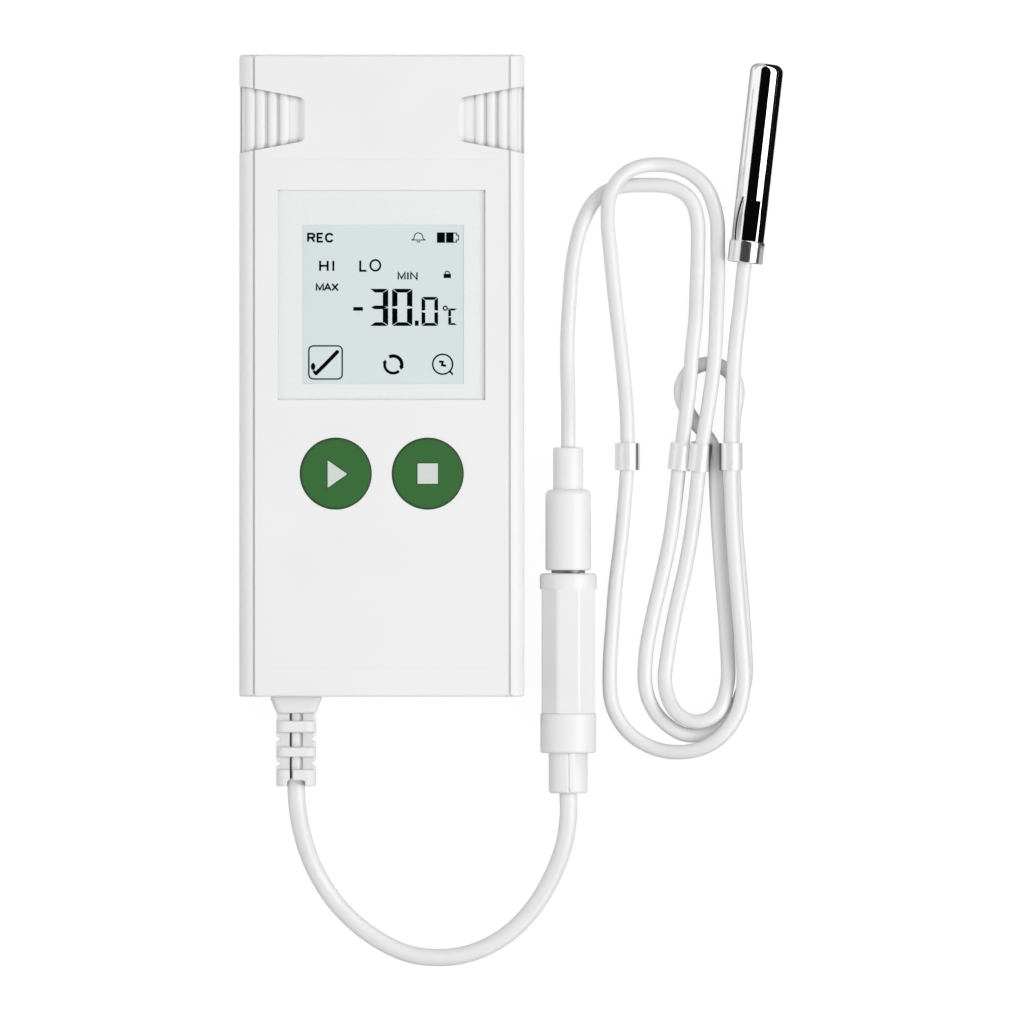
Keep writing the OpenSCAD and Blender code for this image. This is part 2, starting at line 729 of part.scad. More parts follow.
module rear_cover() color(pale) {
    difference() {
        union() {
            difference() {
                union() {
                    difference() {
                        along_y(-half_l, half_l) intersection() {
                            case_outline();
                            back_half_outline();
                        }
                        grip_pockets();
                    }
                    intersection() {
                        grip_ribs();
                        along_z(0, split_z) square(2 * body_l, center = true);
                    }
                }
                along_y(-half_l + wall, half_l - wall) case_outline(wall);
                end_openings();
            }
            translate([0, battery_y, floor_z / 2])
                cylinder(h = well_step_z + well_plate_t - floor_z / 2, r = well_low_r + well_wall);
            translate([0, battery_y, well_step_z])
                cylinder(h = well_top_z - well_step_z, r = well_high_r + well_wall);
            for (p = screw_places) translate([p[0], p[1], floor_z / 2])
                cylinder(h = split_z - floor_z / 2, r = screw_post_r);
        }
        translate([0, battery_y, -cut]) cylinder(h = floor_z + 2 * cut, r = door_r + run_gap);
        translate([0, battery_y, -cut]) linear_extrude(floor_z + 2 * cut)
            lug_outline(door_r + lug_reach + run_gap, lug_angle + notch_play, -lug_turn);
        translate([0, battery_y, floor_z]) cylinder(h = well_step_z - floor_z, r = well_low_r);
        translate([0, battery_y, floor_z]) cylinder(h = body_t, r = well_high_r);
        for (p = screw_places) translate([p[0], p[1], -cut]) {
            cylinder(h = body_t, r = screw_r + run_gap);
            cylinder(h = head_depth + cut, r = head_r + run_gap);
        }
    }
    along_z(split_z - seal_t / 2 - ledge_t, split_z - seal_t / 2) seal_outline(wall / 2);
    for (share = support_shares) both_sides()
        translate([board_half_w - support_w, half_l * share - support_l / 2, floor_z / 2])
            cube([support_w, support_l, board_low_z - floor_z / 2]);
}

module front_label() color([0.95, 0.95, 0.95]) along_z(label_low_z, body_t) difference() {
    label_outline();
    translate([0, window_y])
        square([window_w + 2 * seat_gap, window_l + 2 * seat_gap], center = true);
    button_places() circle(button_d / 2 + run_gap);
}

module display_window() color([0.86, 0.9, 0.89, 0.5])
    along_z(window_seat_z, window_top_z) translate([0, window_y])
        square([window_w, window_l], center = true);

module lcd_panel() color([0.76, 0.82, 0.8]) {
    mid_y = (glass_low_y + glass_high_y) / 2;
    along_z(glass_split_z, glass_top_z) translate([0, mid_y])
        square([glass_w, glass_high_y - glass_low_y], center = true);
    along_z(glass_low_z, glass_split_z) translate([0, mid_y + glass_ledge / 2])
        square([glass_w, glass_high_y - glass_low_y - glass_ledge], center = true);
    along_z(glass_top_z, window_seat_z - seat_gap) translate([0, lcd_y])
        square([lcd_w + view_margin, lcd_l + view_margin], center = true);
}

module lcd_frame() color([0.9, 0.9, 0.88]) {
    mid_y = (glass_low_y + glass_high_y) / 2;
    inner = [glass_w + 2 * frame_gap, glass_high_y - glass_low_y + 2 * frame_gap];
    outer = inner + [2 * frame_wall, 2 * frame_wall];
    along_z(board_top_z, ceiling_z - seat_gap) translate([0, mid_y]) difference() {
        square(outer, center = true);
        square(inner, center = true);
    }
    along_z(board_top_z, glass_low_z) translate([0, mid_y + glass_ledge / 2]) difference() {
        square([inner[0], inner[1] - glass_ledge], center = true);
        square([inner[0] - 2 * frame_wall, inner[1] - glass_ledge - 2 * frame_wall], center = true);
    }
}

module contact_strips() color([0.35, 0.35, 0.37])
    along_z(board_top_z, glass_split_z)
        translate([0, glass_low_y + (glass_ledge - frame_gap) / 2])
            square([lcd_w, strip_w], center = true);

// A key with a rounded top, a flange under the front wall and a plunger
module button(side) {
    top_z = body_t + button_proud;
    translate([side * button_spacing / 2, button_y, 0]) {
        rotate_extrude() bar_outline(button_d / 2, flange_low_z, top_z, 0, button_edge_r);
        translate([0, 0, flange_low_z])
            cylinder(h = button_flange_t, r = button_d / 2 + button_flange_reach);
        translate([0, 0, plunger_low_z])
            cylinder(h = flange_low_z - plunger_low_z, r = plunger_r);
    }
}

module start_button() color(green) button(-1);

module stop_button() color(green) button(1);

module button_domes() color(steel) button_places()
    translate([0, 0, board_top_z]) cylinder(h = dome_h, r1 = dome_r, r2 = dome_flat_r);

module circuit_board() color([0.1, 0.36, 0.2]) along_z(board_low_z, board_top_z) difference() {
    translate([-board_half_w, board_low_y])
        square([2 * board_half_w, board_high_y - board_low_y]);
    for (p = screw_places) translate(p) circle(board_hole_r);
}

module chip(size, x) {
    translate([x - size[0] / 2, chip_high_y - size[1] / 2, board_top_z]) cube(size);
}

module board_chips() color([0.12, 0.12, 0.13]) {
    chip(mcu_size, mcu_x);
    chip(memory_size, memory_x);
    chip(crystal_size, crystal_x);
}

module data_port() color(steel) translate([0, 0, split_z]) {
    back_y = port_front_y - port_l;
    along_y(back_y, port_front_y) difference() {
        obround(port_w, port_h);
        obround(port_w - 2 * port_shell, port_h - 2 * port_shell);
    }
    along_y(back_y, back_y + port_back) obround(port_w - port_shell, port_h - port_shell);
    along_y(back_y, port_front_y - 2 * port_back)
        square([port_w * port_tongue_w_share, port_tongue_t], center = true);
}

module lead_header() color([0.92, 0.9, 0.84])
    translate([relief_x - header_w / 2, board_low_y, board_low_z - header_h])
        cube([header_w, header_l, header_h]);

module lead_cores() color([0.75, 0.2, 0.15]) for (k = [-1, 0, 1])
    translate([relief_x + k * core_spread, board_low_y, split_z]) rotate([90, 0, 0])
        cylinder(h = board_low_y - lead_start_y, r = core_r);

module coin_cell() color([0.78, 0.78, 0.8]) translate([0, battery_y, 0]) {
    rotate_extrude()
        bar_outline(cell_d / 2, cell_low_z, cell_top_z - cell_cap_t, cell_edge_r, cell_edge_r);
    translate([0, 0, cell_top_z - cell_cap_t])
        cylinder(h = cell_cap_t, r = cell_d / 2 - cell_cap_inset);
}

// A bent arm on the flat cap, and a tab that stands against the can's side
module cell_contacts() color(gold) translate([0, battery_y, 0]) {
    drop = board_low_z - cell_top_z - seat_gap - spring_t;
    along_z(board_low_z - spring_t, board_low_z) square([spring_w, spring_l], center = true);
    translate([0, spring_l / 2, 0]) rotate([90, 0, 90]) translate([0, 0, -spring_w / 2])
        linear_extrude(spring_w) polygon([
            [0, board_low_z], [0, board_low_z - spring_t],
            [-spring_l, board_low_z - spring_t - drop],
            [-spring_l, board_low_z - drop]
        ]);
    translate([cell_d / 2 + seat_gap, -tab_w / 2, tab_low_z])
        cube([spring_t, tab_w, board_low_z - tab_low_z]);
}

module battery_cover() color(pale) translate([0, battery_y, 0]) {
    difference() {
        union() {
            translate([0, 0, door_recess])
                cylinder(h = lug_high_z - door_recess, r = door_r);
            along_z(lug_low_z, lug_high_z) lug_outline(door_r + lug_reach, lug_angle, 0);
            translate([0, 0, lug_high_z]) cylinder(h = skirt_h, r = skirt_outer_r);
        }
        translate([0, 0, door_inner_z]) cylinder(h = body_t, r = skirt_inner_r);
        along_z(-cut, door_recess + slot_depth) obround(slot_l, slot_w);
    }
}

module battery_seal() color([0.15, 0.15, 0.16]) translate([0, battery_y, 0])
    rotate_extrude() translate([seal_ring_mid_r, lug_high_z + seal_ring_r])
        circle(seal_ring_r);

module case_seal() color([0.3, 0.3, 0.32])
    along_z(split_z - seal_t / 2, split_z + seal_t / 2) seal_outline();

module case_screws() color(steel) for (p = screw_places) translate([p[0], p[1], 0]) {
    difference() {
        translate([0, 0, head_depth - head_t]) cylinder(h = head_t, r = head_r);
        translate([0, 0, head_depth - head_t - cut])
            for (a = [0, 90]) rotate(a)
                translate([-head_r / 2, -recess_w / 2, 0])
                    cube([head_r, recess_w, cut + head_t / 2]);
    }
    translate([0, 0, head_depth])
        cylinder(h = split_z + pilot_l - cut - head_depth, r = screw_r);
}

module relief_window(y0, y1) {
    width = 2 * relief_w;
    for (s = [-1, 1]) {
        floor_z0 = split_z + s * (relief_d / 2 - relief_window_depth);
        translate([-width / 2, y0, s > 0 ? floor_z0 : floor_z0 - relief_d])
            cube([width, y1 - y0, relief_d]);
        translate([-relief_slot_w / 2, y0, s > 0 ? split_z : split_z - relief_d])
            cube([relief_slot_w, y1 - y0, relief_d]);
    }
}

module strain_relief() color(soft_pale) translate([relief_x, 0, 0]) difference() {
    union() {
        hull() {
            along_y(-half_l - relief_thin_slab, -half_l) translate([0, split_z])
                round_rect(collar_w, collar_d, relief_collar_r, $fn = 32);
            along_y(-half_l - collar_l, -half_l - collar_l + relief_thin_slab)
                translate([0, split_z]) round_rect(relief_w, relief_d, relief_collar_r, $fn = 32);
        }
        along_y(-half_l - collar_l - relief_throat_l, -half_l - collar_l)
            translate([0, split_z]) round_rect(relief_throat_w, relief_d, relief_corner_r);
        along_y(relief_end_y, -half_l - collar_l - relief_throat_l)
            translate([0, split_z]) round_rect(relief_w, relief_d, relief_corner_r);
        along_y(-half_l, -half_l + wall) translate([0, split_z])
            square([relief_neck_w, relief_neck_d], center = true);
        along_y(-half_l + wall + seat_gap, -half_l + wall + seat_gap + relief_flange_l)
            translate([0, split_z]) round_rect(relief_flange_w, relief_flange_d, relief_collar_r);
        along_y(-half_l + wall, -half_l + wall + relief_flange_l / 2) translate([0, split_z])
            square([relief_neck_w, relief_neck_d], center = true);
    }
    along_y(relief_end_y - cut, -half_l + wall + relief_flange_l + cut)
        translate([0, split_z]) circle(lead_bore_r);
    for (w = relief_window_shares)
        relief_window(-half_l - relief_l * w[1], -half_l - relief_l * w[0]);
    for (n = relief_notch_shares) both_sides() translate([0, -half_l - relief_l * n, 0])
        along_z(0, body_t) polygon([
            [relief_w / 2 - relief_notch_depth, 0],
            [relief_w / 2 + cut, -relief_notch_h * 2], [relief_w / 2 + cut, relief_notch_h * 2]
        ]);
    translate([relief_slit_x - relief_slit_w / 2, relief_end_y - cut, split_z])
        cube([relief_slit_w, relief_l * (1 - relief_window_shares[2][1]) + cut + cut, relief_d]);
    translate([-lead_d / 2, relief_end_y - cut, split_z])
        cube([lead_d, relief_l * (1 - relief_last_bar_share) + cut, relief_d]);
}

module lead_cord() color(pale) swept_cord(lead_points, lead_d / 2, lead_sides);

module socket_body() color(pale) difference() {
    low_y = socket_face_y - socket_l;
    turned_y(connector_x, connector_z)
        bar_outline(socket_d / 2, low_y, socket_face_y, 0, socket_round);
    translate([connector_x - socket_d / 2, low_y - cut, connector_z + socket_d / 2 - socket_flat_depth])
        cube([socket_d, socket_l + cut - socket_flat_start, socket_d]);
    translate([connector_x, socket_face_y + cut, connector_z]) rotate([90, 0, 0]) {
        cylinder(h = barrel_l + cut, r = barrel_r + seat_gap);
        cylinder(h = socket_cavity_end + socket_base_l + cut, r = socket_cavity_r);
    }
}

module socket_ring() color(pale) difference() {
    high_y = socket_face_y - socket_l;
    turned_y(connector_x, connector_z)
        bar_outline(ring_d / 2, high_y - ring_l, high_y, ring_round, ring_round);
    translate([connector_x, high_y + cut, connector_z]) rotate([90, 0, 0])
        cylinder(h = ring_l + 2 * cut, r = tail_neck_r + seat_gap);
}

module socket_tail() color(soft_pale) difference() {
    high_y = socket_face_y - socket_l;
    turned_y(connector_x, connector_z) {
        bar_outline(tail_d / 2, tail_end_y, high_y - ring_l, tail_round, 0);
        translate([0, high_y - ring_l]) square([tail_neck_r, ring_l]);
    }
    translate([connector_x, high_y - ring_l, connector_z + tail_d / 2]) rotate([90, 0, 0])
        cylinder(h = high_y - ring_l - tail_end_y + cut, r = tail_groove_r);
    translate([connector_x, lead_end_y, connector_z]) rotate([90, 0, 0])
        cylinder(h = lead_end_y - tail_end_y + cut, r = lead_bore_r);
}

module socket_barrel() color(steel) difference() {
    turned_y(connector_x, connector_z)
        translate([0, socket_face_y - barrel_l]) square([barrel_r, barrel_l - seat_gap]);
    translate([connector_x, socket_face_y + cut, connector_z]) rotate([90, 0, 0])
        cylinder(h = barrel_l + 2 * cut, r = pin_d / 2 + pin_clear);
}

module socket_springs() color(gold) for (s = [-1, 1])
    translate([connector_x - spring_leaf_w / 2, socket_face_y - socket_cavity_end,
               connector_z + s * (pin_d / 2 + pin_clear + spring_leaf_t / 2) - spring_leaf_t / 2])
        cube([spring_leaf_w, socket_cavity_end - barrel_l - cut, spring_leaf_t]);

module socket_base() color([0.2, 0.2, 0.21]) turned_y(connector_x, connector_z)
    translate([0, socket_face_y - socket_cavity_end - socket_base_l])
        square([socket_cavity_r - seat_gap, socket_base_l]);

module plug_body() color(pale) difference() {
    low_y = socket_face_y + seat_gap + collar_disc_t;
    turned_y(connector_x, connector_z) {
        bar_outline(plug_d / 2, low_y, plug_shoulder_y - plug_shoulder_l, plug_round, 0);
        intersection() {
            translate([0, plug_shoulder_y - 2 * plug_shoulder_l])
                square([plug_d / 2, 2 * plug_shoulder_l]);
            translate([plug_d / 2 - plug_shoulder_l, plug_shoulder_y - plug_shoulder_l])
                circle(plug_shoulder_l);
        }
        translate([0, low_y])
            square([plug_d / 2 - plug_shoulder_l, plug_shoulder_y - low_y]);
    }
    translate([connector_x, low_y - cut, connector_z]) rotate([-90, 0, 0])
        cylinder(h = jack_stem_l + cut, r = pin_d / 2 + seat_gap);
    translate([connector_x, plug_shoulder_y + cut, connector_z]) rotate([90, 0, 0])
        cylinder(h = sleeve_neck_l + cut, r = sleeve_neck_r + seat_gap);
}

module plug_sleeve() color(soft_pale) difference() {
    turned_y(connector_x, connector_z) {
        bar_outline(sleeve_d / 2, plug_shoulder_y, plug_sleeve_end_y, 0, sleeve_round);
        translate([0, plug_shoulder_y - sleeve_neck_l]) square([sleeve_neck_r, sleeve_neck_l]);
    }
    translate([connector_x, cable_start_y, connector_z]) rotate([-90, 0, 0])
        cylinder(h = plug_sleeve_end_y - cable_start_y + cut, r = cable_bore_r);
}

module jack_sleeve() color(steel) turned_y(connector_x, connector_z) {
    disc_y = socket_face_y + seat_gap;
    translate([0, disc_y]) square([collar_disc_d / 2, collar_disc_t]);
    translate([0, disc_y - pin_l * jack_sleeve_share])
        square([pin_d / 2, pin_l * jack_sleeve_share + collar_disc_t + jack_stem_l]);
}

module jack_insulator() color([0.1, 0.1, 0.1]) turned_y(connector_x, connector_z)
    translate([0, socket_face_y + seat_gap - pin_l * (jack_sleeve_share + jack_insulator_share)])
        square([pin_d / 2, pin_l * jack_insulator_share]);

module jack_tip() color(steel) turned_y(connector_x, connector_z) {
    base_y = socket_face_y + seat_gap - pin_l * (jack_sleeve_share + jack_insulator_share);
    tip_l = pin_l * (1 - jack_sleeve_share - jack_insulator_share);
    polygon(concat(
        [[0, base_y]],
        [for (p = jack_tip_shares) [pin_d / 2 * p[1], base_y - tip_l * p[0]]],
        [[0, base_y - tip_l]]
    ));
}

module probe_cable() color(pale) {
    fine = smooth_route(cable_points, steps_for_gap);
    echo(str("least gap of the probe cable to itself: ",
             least_distance(fine, gap_skip) - cable_d));
    swept_cord(cable_points, cable_d / 2, cable_sides);
}

module clip_barrel(at, r, turn, tilt, hollow) {
    translate([at[0], clip_y, at[1]]) rotate([0, 0, turn]) rotate([tilt - 90, 0, 0])
        translate([0, 0, -(clip_l + (hollow ? 2 * cut : 0)) / 2])
            cylinder(h = clip_l + (hollow ? 2 * cut : 0), r = hollow ? cable_bore_r : r);
}

module cable_clip_1() color(steel) difference() {
    clip_barrel(clip_1_at, clip_1_r, 0, 0, false);
    clip_barrel(clip_1_at, clip_1_r, 0, 0, true);
}

module cable_clip_2() color(steel) difference() {
    union() {
        clip_barrel(clip_2_at, clip_2_r, clip_2_turn, 0, false);
        clip_barrel(clip_2_over, clip_2_r, clip_2_turn, clip_2_tilt, false);
    }
    clip_barrel(clip_2_at, clip_2_r, clip_2_turn, 0, true);
    clip_barrel(clip_2_over, clip_2_r, clip_2_turn, clip_2_tilt, true);
}

module cable_clip_3() color(steel) difference() {
    clip_barrel(clip_3_at, clip_3_r, 0, 0, false);
    clip_barrel(clip_3_at, clip_3_r, 0, 0, true);
}

// Places a piece drawn along its own axis, from the ferrule's end to the tip
module in_probe() {
    translate(probe_place) rotate([0, 0, probe_turn]) rotate([-90, 0, 0]) children();
}

module probe_tube() color(steel) in_probe() difference() {
    rotate_extrude() bar_outline(probe_d / 2, ferrule_l, probe_l, 0, tip_round);
    rotate_extrude()
        bar_outline(probe_d / 2 - tube_wall, ferrule_l - cut, probe_l - tube_wall, 0,
                    tip_round - tube_wall);
    difference() {
        translate([0, 0, ferrule_l - cut])
            cylinder(h = crimp_l + cut, r = probe_d / 2 + cut);
        intersection() {
            translate([0, 0, ferrule_l - 2 * cut]) rotate(crimp_turn)
                cylinder(h = crimp_l + 4 * cut,
                         r = probe_d / 2 * crimp_flat_share / cos(30), $fn = 6);
            translate([0, 0, ferrule_l - 2 * cut])
                cylinder(h = crimp_l + 2 * cut, r1 = probe_d / 2 - crimp_squeeze, r2 = probe_d / 2);
        }
    }
}

module probe_ferrule() color(steel) in_probe() difference() {
    union() {
        rotate_extrude() bar_outline(ferrule_d / 2, 0, ferrule_l, ferrule_round, ferrule_round);
        translate([0, 0, ferrule_l / 2])
            cylinder(h = ferrule_l / 2 + ferrule_neck_l, r = probe_d / 2 - tube_wall - potting_gap);
    }
    translate([0, 0, -cut]) cylinder(h = cable_in_ferrule + cut, r = cable_bore_r);
}

module thermistor() color([0.2, 0.2, 0.25]) in_probe()
    translate([0, 0, probe_l - bead_from_tip]) sphere(bead_r);

module potting() color([0.75, 0.72, 0.6]) in_probe() difference() {
    rotate_extrude() bar_outline(
        probe_d / 2 - tube_wall - potting_gap, ferrule_l + ferrule_neck_l,
        probe_l - tube_wall - potting_gap, 0, tip_round - tube_wall
    );
    translate([0, 0, probe_l - bead_from_tip]) sphere(bead_r);
}

front_cover();
rear_cover();
front_label();
display_window();
lcd_panel();
lcd_frame();
contact_strips();
start_button();
stop_button();
button_domes();
circuit_board();
board_chips();
data_port();
lead_header();
lead_cores();
coin_cell();
cell_contacts();
battery_cover();
battery_seal();
case_seal();
case_screws();
strain_relief();
lead_cord();
socket_body();
socket_ring();
socket_tail();
socket_barrel();
socket_springs();
socket_base();
plug_body();
plug_sleeve();
jack_sleeve();
jack_insulator();
jack_tip();
probe_cable();
cable_clip_1();
cable_clip_2();
cable_clip_3();
probe_tube();
probe_ferrule();
thermistor();
potting();
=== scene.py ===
import math

import bmesh
import bpy
from bpy.props import FloatProperty, FloatVectorProperty, IntProperty, PointerProperty
from mathutils import Matrix, Vector


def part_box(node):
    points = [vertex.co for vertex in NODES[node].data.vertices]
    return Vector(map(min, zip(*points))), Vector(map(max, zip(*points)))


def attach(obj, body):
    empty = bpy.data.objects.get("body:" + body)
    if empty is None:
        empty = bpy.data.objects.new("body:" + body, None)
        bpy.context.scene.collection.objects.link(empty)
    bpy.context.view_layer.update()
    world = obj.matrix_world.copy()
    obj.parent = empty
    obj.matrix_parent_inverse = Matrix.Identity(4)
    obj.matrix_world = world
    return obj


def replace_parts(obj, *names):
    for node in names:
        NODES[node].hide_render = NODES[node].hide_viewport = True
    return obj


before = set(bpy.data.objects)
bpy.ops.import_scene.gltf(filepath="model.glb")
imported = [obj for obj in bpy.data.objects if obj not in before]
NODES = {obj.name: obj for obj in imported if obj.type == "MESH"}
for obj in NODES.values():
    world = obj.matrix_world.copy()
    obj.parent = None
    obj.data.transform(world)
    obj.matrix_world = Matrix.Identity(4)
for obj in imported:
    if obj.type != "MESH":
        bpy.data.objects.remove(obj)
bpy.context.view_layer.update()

bl_info = {
    "name": "Pocket temperature logger",
    "version": (1, 0, 0),
    "blender": (4, 5, 0),
    "location": "3D View > Sidebar > Logger",
    "description": "Dresses the packed model of a pocket temperature logger with a wired probe",
    "category": "Object",
}

MM = 0.001

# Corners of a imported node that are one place, and faces of it that are one plane
SAME_PLACE = 0.002 * MM
SAME_PLANE = math.radians(0.4)

# Tops of the pieces that the printed and displayed marks lie on, in millimetres
LCD_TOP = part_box("lcd_panel")[1].z / MM
KEY_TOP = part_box("start_button")[1].z / MM

# Where the halves of the case meet, and where its sides begin to turn in, above and below
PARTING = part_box("front_cover")[0].z
SIDE_TOP = 10.05 * MM
SIDE_LOW = 2.03 * MM

# Where the probe's collar begins, how the probe is turned from upright, and how long the
# collar is
PROBE_END = (55 * MM, 17.2 * MM)
PROBE_TURN = math.radians(-6.5)
COLLAR = 2.72 * MM

# The part of the display that shows inside the pane's printed border, in millimetres
LCD_LEFT = -12.0
LCD_HIGH = 22.8
LCD_WIDE = 24.4
LCD_TALL = 24.05

# The lead's route from inside the strain relief to inside the socket's tail, in millimetres
LEAD_ROUTE = [
    (-13, -45, 6.3), (-13, -50, 6.3), (-13, -56, 6.3), (-13, -62, 6.3), (-12.8, -65.5, 5.9),
    (-12.1, -69.4, 4.7), (-10.9, -73.2, 3.1), (-9.2, -76.7, 1.8), (-6.7, -80.3, 1.35),
    (-3.2, -83.7, 1.35), (0.6, -86.2, 1.35), (4.2, -87.7, 1.35), (8, -88.2, 1.35),
    (11.9, -87.9, 1.35), (16, -86.5, 1.35), (19.8, -84, 1.35), (23.2, -80.3, 1.6),
    (25.8, -75.8, 2.4), (27.5, -71.3, 3.5), (28.2, -67, 4.2), (28.2, -63.2, 4.3),
    (28.2, -58.2, 4.3),
]

# The probe cable's route from inside the plug's sleeve to inside the ferrule, in millimetres
CABLE_ROUTE = [
    (28.2, -14.8, 4.3), (28.2, -10.8, 4.3), (28.2, -8.4, 4.3), (28.2, -4.1, 3), (28.1, 0.6, 1.4),
    (28.1, 5.7, 1.1), (28.4, 11.4, 1.1), (29, 17.8, 1.1), (30.3, 23.1, 1.1), (32.5, 26.9, 1.1),
    (35.7, 28.7, 1.1), (39.9, 29, 1.1), (43.9, 28.7, 1.1), (46.7, 26.9, 1.1), (47.8, 23.7, 1.1),
    (47.9, 19, 1.1), (47.7, 13.4, 2.2), (47.5, 8.7, 3.7), (47, 3.9, 3.8), (46.6, -1.3, 3.7),
    (46.15, -5.2, 3.9), (45.7, -8.7, 3), (45.2, -12.3, 1.7), (44.5, -18.5, 1.1),
    (43.7, -24.5, 1.1), (42.4, -30.6, 1.1), (41, -36.6, 1.1), (40, -42.2, 1.1), (40, -47.5, 1.1),
    (41.9, -51.6, 1.1), (45.7, -54.3, 1.1), (49.7, -53.9, 1.1), (53.1, -51, 1.1),
    (55, -46.4, 1.1), (55, -40.7, 1.1), (54.6, -34.8, 1.1), (54.1, -28.8, 1.1),
    (53.6, -22.7, 1.1), (53.4, -17.3, 1.1), (53.2, -12.3, 1.1), (53.2, -9.2, 1.1),
    (53.4, -6, 1.1), (53.88, -2.77, 1.1), (53.52, -0.63, 1.1), (52.15, 1.06, 1.1),
    (50.13, 1.87, 1.1), (47.98, 1.58, 1.1), (46.24, 0.28, 1.1), (45.36, -1.71, 1.1),
    (45.6, -3.85, 1.1), (47.1, -6.5, 1.1), (48.8, -8.55, 1.1), (50.1, -10.7, 1.1),
    (50.55, -13.8, 1.1), (50.7, -17.1, 1.1), (51, -23, 1.1), (51.4, -28.8, 1.1),
    (51.9, -34.8, 1.1), (52.3, -40.7, 1.1), (52.4, -46.3, 2), (51, -50.8, 3.4),
    (47.7, -52.4, 3.6), (44.4, -50.8, 3.1), (42.9, -46.6, 1.4), (43.5, -41, 1.1),
    (44.6, -35.1, 1.1), (45.9, -29.4, 1.1), (46.9, -23.9, 1.1), (47.6, -18.2, 2.1),
    (48.2, -12.3, 3), (48.8, -8.6, 3.8), (50, -0.8, 3.8), (50.5, 4.5, 3.8), (50.7, 9.6, 3.7),
    (50.9, 14.5, 2.4), (50.9, 19.3, 1.2), (50.7, 24.3, 1.1), (49, 28.8, 1.1), (45.4, 31.5, 1.1),
    (41, 32.1, 1.4), (37.1, 30.9, 3.1), (34.7, 27.9, 3.8), (34.2, 23.8, 2.6), (34.6, 19, 1.1),
    (35.2, 12.9, 1.1), (35.9, 6.8, 1.1), (36.6, 0.4, 1.1), (37.1, -5.8, 1.6), (37.2, -12.3, 1.9),
    (36.8, -18.6, 1.6), (36.2, -25.1, 1.1), (35.4, -31.6, 1.1), (34.9, -38.1, 1.1),
    (34.5, -44.6, 1.1), (34.9, -49.9, 1.1), (37.4, -54.1, 1.1), (41.7, -56.6, 1.5),
    (46.6, -56.9, 3), (50.8, -55.1, 3.8), (53.7, -51.4, 3.8), (54.8, -46.6, 3.8),
    (54.5, -40.8, 3.8), (54, -34.8, 3.8), (53.5, -28.8, 3.8), (53.1, -22.7, 3.8),
    (52.9, -17.3, 4), (52.8, -12.3, 4.1), (52.9, -7.3, 4), (53.1, -2.2, 3.8), (53.4, 2.7, 3.8),
    (53.8, 6.9, 3.8), (54.3, 10.8, 3.5), (54.7, 14.9, 2.67), (55, 17.2, 2.67), (55.3, 19.8, 2.67),
]


def measure(name, description, default, unit="LENGTH", least=0):
    """A size or power that a user may change."""
    return FloatProperty(name=name, description=description, default=default, min=least,
                         unit=unit)


def tint(name, description, *default):
    """A colour that a user may change."""
    return FloatVectorProperty(name=name, description=description, subtype="COLOR", size=4,
                               default=(*default, 1))


class LoggerSizes(bpy.types.PropertyGroup):
    """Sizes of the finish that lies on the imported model."""

    edge: measure("Moulded edge", "Rounding of the case's sharp edges", 0.2 * MM)
    corner: measure("Case corner", "Rounding of the case's corners and ends", 0.4 * MM)
    fine_edge: measure("Fine edge", "Rounding of small parts' edges", 0.06 * MM)
    grain: measure("Grain", "Size of the grain moulded into the case", 0.22 * MM,
                   least=0.01 * MM)
    lead: measure("Lead", "Diameter of the lead", 2.65 * MM)
    cable: measure("Probe cable", "Diameter of the probe cable", 2.2 * MM)
    mark_depth: measure("Mark depth", "Thickness of printed and displayed marks", 0.02 * MM,
                        least=0.001 * MM)
    boot_ease: IntProperty(
        name="Boot ease", description="Rounds of smoothing of the strain relief's bars",
        default=10, min=0)
    cord_steps: IntProperty(
        name="Cord steps", description="Steps between two points of a cord's route",
        default=8, min=1)


class LoggerColours(bpy.types.PropertyGroup):
    """Colours of the finishes, as they are seen in plain light."""

    case: tint("Case", "Moulded case", 0.87, 0.87, 0.87)
    label: tint("Label", "Film on the front", 0.86, 0.865, 0.862)
    pane: tint("Pane border", "Print under the display's pane", 0.825, 0.86, 0.85)
    field: tint("Display", "Field of the display", 0.705, 0.79, 0.785)
    mark: tint("Display mark", "A display segment that is on", 0.001, 0.001, 0.0015)
    key: tint("Key", "The two keys", 0.037, 0.144, 0.036)
    sign: tint("Key sign", "The sign on a key", 0.65, 0.69, 0.655)
    connector: tint("Connector", "Moulded socket and plug", 0.86, 0.86, 0.86)
    jacket: tint("Cable jacket", "Jacket of the lead and cable", 0.84, 0.84, 0.84)
    steel: tint("Probe steel", "Polished probe tube", 0.93, 0.93, 0.93)


class LoggerStage(bpy.types.PropertyGroup):
    """Camera and light."""

    lens: FloatProperty(
        name="Lens", description="Focal length, long because the photograph is flat",
        default=600, min=1, unit="CAMERA")
    frame_width: measure("Frame width", "Width of the picture at the logger's face",
                         154.7 * MM)
    aim: FloatVectorProperty(
        name="Aim", description="Middle of the picture", subtype="XYZ", size=2,
        default=(19.68 * MM, -20.6 * MM), unit="LENGTH")
    sky: FloatProperty(
        name="Sky", description="Level of the light from all round", default=0.5, min=0)
    key_power: measure("Key lamp", "Power of the lamp at the right", 3.1, "POWER")
    left_power: measure("Left lamp", "Power of the low lamp at the left", 1.6, "POWER")
    fill_power: measure("Top lamp", "Power of the lamp overhead", 2.7, "POWER")


